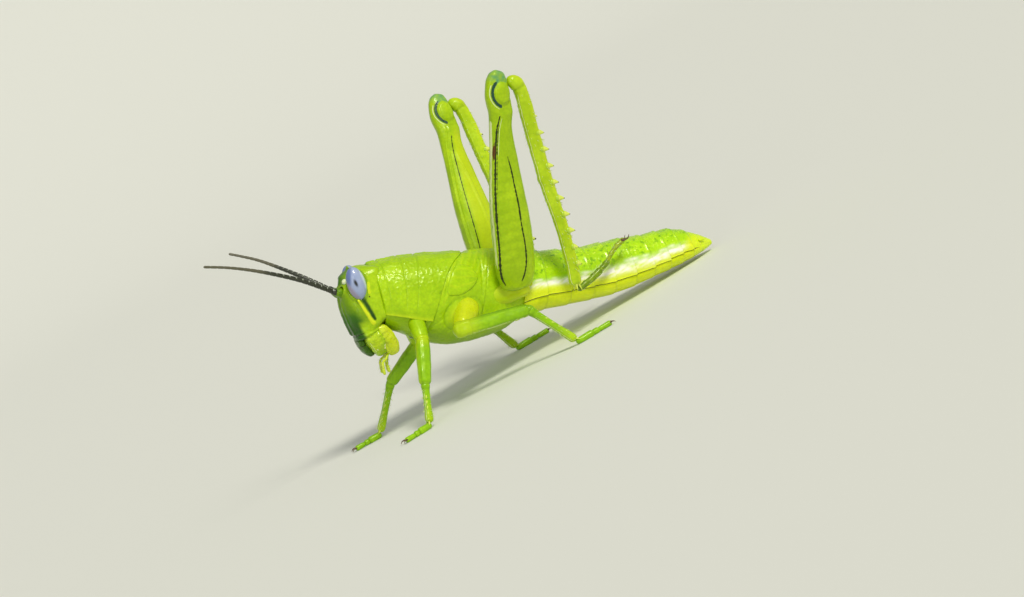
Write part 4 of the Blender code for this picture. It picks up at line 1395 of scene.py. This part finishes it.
def build_standing_thigh(leg):
    middle, before = leg.middle, TROCHANTER[leg.row]
    start, end = leg.hip - leg.way * before, leg.knee + leg.way * 0.30
    line = Line([start, start.lerp(end, 0.5), end])

    def ridges(distance, c, s):
        place = Vector((distance, c, s))
        ridge = 0.05 * hump(abs(c) - 0.55, 0.10) * step(0.5, 1.5, distance)
        root = 0.16 * hump(distance - 0.9, 0.8) * middle - 0.06 * hump(distance - before - 0.30, 0.12)
        root += 0.12 * rough(place, 0.9, 3.0) * middle * (1 - step(before, before + 1.5, distance))
        return ridge + root + 0.04 * rough(place, 0.7)

    def marks(distance, c, s, point):
        below = step(0.45, 1.0, -c) * middle
        top_line = mark(c - 0.86, 0.03) * middle * (s * leg.side > 0) * step(1.5, 2.5, distance)
        most, near, far = (0.38, before, before + 2.4) if middle else (0.4, 0.5, 2.2)
        root = most * (1 - step(near, far, distance))
        return {"deep": 0.5 * below, "pale": 0.9 * top_line * (rough(point, 0.25) > -0.25),
                "yellow": max(0.25 * step(0.75, 1.0, c), root)}

    bm = new_mesh()
    tube(bm, line, limb_shape(line, SLIM_FEMUR, leg.scale, extra=ridges), 56, 120, marks,
         rounding=(0.75 if middle else 0.5, 0.60))
    knee = Line([leg.knee - leg.way * 0.45, leg.knee + leg.way * 0.08, leg.knee + leg.down * 0.45], 6)
    tube(bm, knee, round_shape(lambda d: 0.54 * leg.scale), 28, 24, lambda d, c, s, point: {"deep": 0.2},
         rounding=(0.4, 0.4))
    add_piece("thigh_" + leg.label, bm, LEG, ["femur_" + leg.label])


def build_standing_shin(leg):
    top, low = leg.knee - leg.down * 0.12, leg.ankle.lerp(leg.heel, 0.55)
    line = Line([top, top.lerp(low, 0.5), low])
    shape = limb_shape(line, SLIM_TIBIA, leg.scale, extra=lambda d, c, s: 0.03 * hump(abs(c) - 0.6, 0.1))

    def marks(distance, c, s, point):
        return {"deep": 0.25 * hump(distance - 0.75, 0.15),
                "yellow": 0.25 * step(0.4, 1.0, distance / line.length),
                "pale": 0.8 * mark(c - 0.80, 0.05) * step(0.8, 1.4, distance)}

    bm = new_mesh()
    tube(bm, line, shape, 48, 90, marks, rounding=(0.45, 0.35))
    BRISTLES.append((line, shape, (0.12, 0.97), (0, 360), 60))
    add_piece("shin_" + leg.label, bm, LEG, ["tibia_" + leg.label])

    bm = new_mesh()
    for k in range(6):
        point, _ = line.at((0.30 + 0.13 * k) * line.length)
        for turn in (-1, 1):
            out = (leg.across * turn * 0.80 + leg.heading * 0.55).normalized()
            root = point + out * 0.26
            cone(bm, root, root + (out * 0.70 + leg.down * 0.70) * 0.50, 0.15, 8, 6)
    add_piece("shin_spines_" + leg.label, bm, SPINE)


def build_standing_foot(leg):
    bm = new_mesh()
    for first, last, high, wide in FOOT_JOINTS:
        foot_joint(bm, leg.heel.lerp(leg.toe, first), leg.heel.lerp(leg.toe, last), high, wide)
    add_piece("foot_" + leg.label, bm, LEG, ["tarsus_" + leg.label])
    bm = new_mesh()
    build_claws(bm, leg.heel.lerp(leg.toe, 0.90), leg.heading, leg.across, Vector((0, 0, -1)))
    add_piece("claws_" + leg.label, bm, CLAW)


def row_across(rows, share):
    """Interpolation of a marking's place across a limb."""
    return row_at(rows, share)[0]


# Where the black lines of the hind thigh's outer face run: share of the length,
# then the place across it from the head's edge, 0, to the tail's edge, 1.
FRONT_LINE = ((0.0, 0.12), (0.06, 0.06), (0.21, 0.075), (0.30, 0.080), (0.45, 0.09), (0.60, 0.115),
              (0.67, 0.135), (0.735, 0.175), (0.80, 0.235), (0.86, 0.34))
REAR_LINE = ((0.015, 0.56), (0.07, 0.66), (0.12, 0.70), (0.21, 0.70), (0.30, 0.67), (0.45, 0.665),
             (0.60, 0.61), (0.67, 0.54), (0.75, 0.48))
INNER_LINE = ((0.1, 0.20), (0.25, 0.26), (0.49, 0.32), (0.71, 0.38), (0.885, 0.55))
# The knee's round lobe: its middle along and across, and its radii in millimetres.
LOBE = (0.9715, 0.62, 1.31, 1.15)


def build_hind_thigh(name, side):
    hip, knee = at(HIND_HIP[name], side), at(HIND_KNEE[name], side)
    way = knee - hip
    length = way.length
    first, last = HIND_FEMUR[0][0], HIND_FEMUR[-1][0]
    line = Line([hip + way * (first + (last - first) * k / 4) for k in range(5)])

    def place_of(distance, c, s):
        """Share along, place across from the head's edge, and the width there."""
        share = first + (last - first) * distance / line.length
        behind, ahead, thick = row_at(HIND_FEMUR, share)
        reach = (behind if c > 0 else ahead) * squared(c, 0.85)
        return share, (reach + ahead) / (behind + ahead), behind + ahead

    def lobe_ring(share, across, wide):
        """Distance from the knee lobe's middle in its own radii, and the way
        round from the tip, positive towards the tail."""
        along = (share - LOBE[0]) * length / LOBE[2]
        over = (across - LOBE[1]) * wide / LOBE[3]
        return math.hypot(along, over), math.degrees(math.atan2(over, along))

    def from_lines(share, across, wide):
        front = (across - row_across(FRONT_LINE, min(max(share, 0.0), 0.86))) * wide
        rear = (across - row_across(REAR_LINE, min(max(share, 0.015), 0.75))) * wide
        return front, rear

    def relief(distance, c, s):
        share, across, wide = place_of(distance, c, s)
        inside = step(0.0, 0.05, share) * (1 - step(0.97, 1.03, share))
        front, rear = from_lines(share, across, wide)
        out = 0.09 * hump(front + 0.10, 0.13) * inside * (1 - step(0.80, 0.86, share))
        out += 0.08 * hump(rear - 0.10, 0.14) * inside * (1 - step(0.66, 0.76, share))
        out -= 0.05 * hump(front - 0.10, 0.10) * inside
        if s * side > 0:
            chevrons = math.sin(2 * math.pi * (share * length / 1.15 + 0.9 * abs(across - 0.45)))
            out += 0.020 * chevrons * step(0.02, 0.10, min(front, -rear) / 1.2) * step(0.06, 0.14, share) \
                * (1 - step(0.60, 0.72, share))
        ring, _ = lobe_ring(share, across, wide)
        out += 0.13 * (1 - step(0.7, 1.02, ring)) - 0.15 * (1 - step(1.3, 2.0, ring))
        out -= 0.05 * hump(ring - 1.10, 0.10)
        return out + 0.03 * rough(Vector((distance, 2 * c, 2 * s)), 1.3, 5.0)

    def marks(distance, c, s, point):
        share, across, wide = place_of(distance, c, s)
        ring, around = lobe_ring(share, across, wide)
        beads = 0.5 + 0.5 * rough(Vector((share * length, 0.3 * side, 0)), 0.20, 4.0)
        grow = 0.5 + 0.5 * rough(Vector((share * length, 0, 0)), 1.6, 7.0)
        dark = pale = yellow = spot = 0.0
        if s * side > 0:
            front, rear = from_lines(share, across, wide)
            dark = mark(front, 0.030 + 0.10 * beads * (0.6 + 0.6 * grow))
            dark *= step(0.005, 0.02, share) * (1 - step(0.86, 0.87, share))
            second = mark(front - 0.17, 0.06 * beads) * step(0.45, 0.5, share)
            dark = max(dark, second * (1 - step(0.80, 0.84, share)))
            there = step(0.012, 0.035, share) * (1 - step(0.60, 0.74, share))
            dark = max(dark, mark(rear, 0.035 + 0.08 * beads) * there)
            pale = 0.9 * mark(front - 0.30, 0.035) * step(0.62, 0.70, share) * (1 - step(0.84, 0.88, share))
            edge = across - 0.012 - 0.008 * rough(point, 0.8)
            wide_edge = 0.012 + 0.022 * step(0.62, 0.76, share)
            pale = max(pale, mark(edge, wide_edge) * step(0.05, 0.15, share) * (1 - step(0.82, 0.86, share)))
            spot = mark(math.hypot((share - 0.690) * length / 6.0, front + 0.16), 0.15)
        else:
            inner = (across - row_across(INNER_LINE, min(max(share, 0.1), 0.885))) * wide
            dark = mark(inner, 0.02 + 0.08 * beads) * step(0.12, 0.2, share) * (1 - step(0.80, 0.88, share))
            yellow = 0.42 * step(0.0, 0.5, inner) * (1 - step(0.80, 0.92, share))
        teal = mark(ring - 1.17, 0.15) * step(-172, -160, around) * (1 - step(-40, -10, around))
        cap = step(1.0, 1.06, ring) * step(-52, -24, around) * (1 - step(28, 48, around))
        cap *= (0.62 + 0.55 * rough(point, 0.40, 3.0)) * (1 - 0.25 * step(1.5, 2.0, ring))
        rim = mark(ring - 1.44, 0.035) * step(-165, -150, around) * (1 - step(-62, -46, around))
        return {"dark": dark, "teal": teal, "pale": max(pale, rim), "yellow": yellow, "tip": spot,
                "deep": max(0.0, min(1.0, cap))}

    bm = new_mesh()
    shape = limb_shape(line, HIND_FEMUR, 1.0, 0.85, first, last, relief)
    tube(bm, line, shape, 170, 300, marks, rounding=(0.5, 0.35))
    add_piece("hind_thigh_" + name, bm, THIGH, ["femur_hind_" + name])


def build_hind_shin(name, side):
    high, low = HIND_TIBIA[0][2], HIND_TIBIA[-1][2]
    lean = TIBIA_LEAN[name]
    line = Line([at((x - KNEE_TUCK * step(28.5, 30.0, z) + lean * (z - low) / (high - low), out, z), side)
                 for x, out, z in HIND_TIBIA])

    def shape(distance, c, s):
        size = row_at(HIND_TIBIA_WIDTH, distance / line.length)[0]
        ridge = 0.05 * hump(abs(s) - 0.72, 0.12) * step(1.0, 2.5, distance)
        knob = 0.10 * hump(distance - 0.49 * line.length, 0.35) * step(0.0, 0.6, c)
        neck = 0.07 * hump(distance - 1.75, 0.25)
        size += ridge + knob - neck + 0.03 * rough(Vector((distance, c, s)), 0.8, 9.0)
        rear = step(2.0, 4.5, distance) * (1 - step(0.86, 0.98, distance / line.length))
        size += SHIN_REAR * step(0.0, 0.7, -c) * rear
        grains = max(0.0, rough(Vector((distance, 0.7 * c, 0.7 * s)), 0.28, 2.0))
        size += 0.05 * grains * step(1.5, 3.0, distance)
        return size * squared(c, 0.95), size * TIBIA_FLATNESS * squared(s, 0.95)

    def marks(distance, c, s, point):
        run = step(1.5, 3.0, distance)
        outer = s * side > 0
        wave = 0.06 * rough(point, 0.6)
        edge_line = mark(c - 0.80 + wave, 0.04) * run
        side_line = mark(c + 0.05, 0.03) * run * (1 - step(6, 9, distance))
        return {"pale": max(edge_line, side_line) * outer,
                "yellow": 0.35 * step(0.2, 0.9, -c), "deep": 0.25 * hump(distance - 1.75, 0.15),
                "tip": 0.75 * step(0.962, 1.0, distance / line.length) * (0.6 + 0.4 * rough(point, 0.3))}

    bm = new_mesh()
    tube(bm, line, shape, 60, 260, marks, rounding=(0.7, 0.5))
    add_piece("hind_shin_" + name, bm, SHIN, ["tibia_hind_" + name])
    BRISTLES.append((line, shape, (0.10, 0.97), (100, 260), 150))
    BRISTLES.append((line, shape, (0.10, 0.97), (-80, 80), 60))
    build_shin_spines(name, line)


def build_shin_spines(name, line):
    """Two rows of spines down the hind shin's rear, and the four spurs at its ankle."""
    bm = new_mesh()
    for k in range(-2, SPINE_ROWS):
        for turn, lag in ((-1, 0.0), (1, SPINE_LAG)):
            centre, along = line.at(SPINE_START + SPINE_PITCH * k + lag)
            grow = step(-3.5, 0.5, k)
            out = Vector((0.86, 0.51 * turn, 0)).normalized()
            root = centre + out * 0.50
            reach = SPINE_LENGTH * grow * (1 - 0.25 * step(6, 8, k))
            tip = root + out * reach + along * 0.46 * grow
            bend = along * -0.06 * grow
            cone(bm, root, tip, SPINE_RADIUS * grow, 16, 18, bend, spine_marks(reach), taper=1.15)
    ankle, along = line.at(line.length - 0.25)
    for turn in (-1, 1):
        for reach, rearward in ((1.15, 0.70), (0.85, -0.14)):
            out = Vector((rearward, 0.6 * turn, 0)).normalized()
            root = ankle + out * 0.30
            cone(bm, root, root + along * reach + out * 0.35, 0.18, 10, 10, marks=tip_marks(reach))
    add_piece("hind_shin_spines_" + name, bm, SPINE)


def build_hind_foot(name, side):
    line = Line([at(point, side) for point in HIND_FOOT])
    bm = new_mesh()
    for first, last, high, wide in HIND_FOOT_JOINTS:
        points = [line.at((first + (last - first) * k / 2) * line.length)[0] for k in range(3)]
        piece_line = Line(points, 6)

        def shape(distance, c, s, piece_line=piece_line, high=high, wide=wide):
            share = distance / piece_line.length
            bulge = 0.84 + 0.24 * share
            pads = 0.08 * hump(math.sin(math.pi * 3 * share), 0.5) * (c < 0)
            return (high * bulge + pads) * c, wide * bulge * s

        def marks(distance, c, s, point, first=first):
            return {"deep": 0.90 + 0.3 * rough(point, 0.4), "yellow": 0.10 + 0.2 * (first > 0.5)}

        tube(bm, piece_line, shape, 28, 36, marks, rounding=(0.3, 0.3))
        BRISTLES.append((piece_line, shape, (0.05, 0.95), (0, 360), 26))
    add_piece("hind_foot_" + name, bm, SHIN, ["tarsus_hind_" + name])
    bm = new_mesh()
    toe, heading = line.at(0.92 * line.length)
    across = heading.cross(Vector((0, 0, 1))).normalized()
    build_claws(bm, toe, heading, across, heading.cross(across) * -1, 1.35 if side == LEFT else 0.9)
    add_piece("hind_claws_" + name, bm, CLAW)


def build_hind_hip(name, side):
    inner, outer = (at(point, side) for point in HIND_COXA[name])
    line = Line([inner, inner.lerp(outer, 0.5), outer])
    shape = limb_shape(line, HIP, HIND_COXA_RADIUS, 0.8,
                       extra=lambda d, c, s: 0.07 * rough(Vector((d, c, s)), 0.8, 6.0))

    def marks(distance, c, s, point):
        return {"yellow": 0.15 + 0.45 * distance / line.length + 0.15 * rough(point, 0.8)}

    bm = new_mesh()
    tube(bm, line, shape, 48, 50, marks, rounding=(0.6, 0.95))
    add_piece("hind_coxa_plate_" + name, bm, GREEN, ["coxa_hind_" + name])


for side_name, side_sign in SIDES.items():
    for leg_row in STANDING_LEGS:
        standing_leg = StandingLeg(leg_row, side_name, side_sign)
        for build in (build_standing_coxa, build_standing_thigh, build_standing_shin, build_standing_foot):
            build(standing_leg)
    build_hind_hip(side_name, side_sign)
    build_hind_thigh(side_name, side_sign)
    build_hind_shin(side_name, side_sign)
    build_hind_foot(side_name, side_sign)
build_bristles()


# The studio.

CAMERA_YAW, CAMERA_PITCH, CAMERA_ROLL = 18.0, -6.578, -28.3  # degrees
CAMERA_DISTANCE = 329.06
CAMERA_AIM = (2.42, -1.83, -8.62)  # from the middle of the animal's box
LENS = 100.0
SENSOR = 36.0

# The floor, in metres: how far it reaches, how far it is flat, and how steeply it then rises.
STUDIO_RADIUS = 6.0
STUDIO_FLAT = 0.5
STUDIO_SLOPE = 0.19


def build_camera():
    yaw, pitch, roll = (math.radians(value) for value in (CAMERA_YAW, CAMERA_PITCH, CAMERA_ROLL))
    forward = Vector((math.sin(yaw) * math.cos(pitch), math.cos(yaw) * math.cos(pitch), math.sin(pitch)))
    level = forward.cross(Vector((0, 0, 1))).normalized()
    up = level.cross(forward)
    right = level * math.cos(roll) + up * math.sin(roll)
    up = right.cross(forward)
    data = bpy.data.cameras.new("camera")
    data.lens, data.sensor_width = LENS, SENSOR
    data.clip_start, data.clip_end = 0.005, 20.0
    camera = bpy.data.objects.new("camera", data)
    aim = (cad_box[0] + cad_box[1]) / 2 + Vector(CAMERA_AIM) * MM
    turn = Matrix((right, up, -forward)).transposed().to_4x4()
    camera.matrix_world = Matrix.Translation(aim - forward * CAMERA_DISTANCE * MM) @ turn
    bpy.context.scene.collection.objects.link(camera)
    bpy.context.scene.camera = camera


def sun_light(name, towards, softness, power, colour):
    """A far soft light that comes from a direction; softness is its width in degrees."""
    data = bpy.data.lights.new(name, "SUN")
    data.angle = math.radians(softness)
    data.energy = power
    data.color = linear(colour)[:3]
    lamp = bpy.data.objects.new(name, data)
    lamp.rotation_euler = Vector(towards).to_track_quat("Z", "Y").to_euler()
    bpy.context.scene.collection.objects.link(lamp)


def build_studio():
    bm = bmesh.new()
    verts = bmesh.ops.create_grid(bm, x_segments=96, y_segments=60, size=1.0)["verts"]
    for vert in verts:
        turn, reach = math.pi * vert.co.x, (vert.co.y + 1) / 2
        out = STUDIO_RADIUS * reach**2
        rise = max(0.0, out - STUDIO_FLAT)
        height = STUDIO_SLOPE * rise**2 / (rise + STUDIO_FLAT)
        vert.co = Vector((math.cos(turn) * out, math.sin(turn) * out, height))
    bmesh.ops.remove_doubles(bm, verts=bm.verts, dist=0.1 * MM)
    bmesh.ops.recalc_face_normals(bm, faces=bm.faces)
    mesh = bpy.data.meshes.new("studio_floor")
    bm.to_mesh(mesh)
    bm.free()
    mesh.shade_smooth()
    floor = bpy.data.objects.new("studio_floor", mesh)
    bpy.context.scene.collection.objects.link(floor)
    paper, tree = new_material("matt studio paper")
    finish_material(tree, {"Base Color": linear("E2E3DC"), "Roughness": 0.9})
    mesh.materials.append(paper)
    world = bpy.data.worlds.new("studio")
    world.use_nodes = True
    sky = world.node_tree.nodes["Background"]
    sky.inputs["Color"].default_value = linear("F2F3EE")
    sky.inputs["Strength"].default_value = 0.42
    bpy.context.scene.world = world
    sun_light("key", (0.26, -0.72, 0.80), 16, 2.15, "FFFBEE")
    sun_light("fill", (-0.5, -0.7, 0.30), 40, 0.62, "F4FAFF")
    bpy.context.scene.view_settings.view_transform = "Standard"


build_camera()
build_studio()
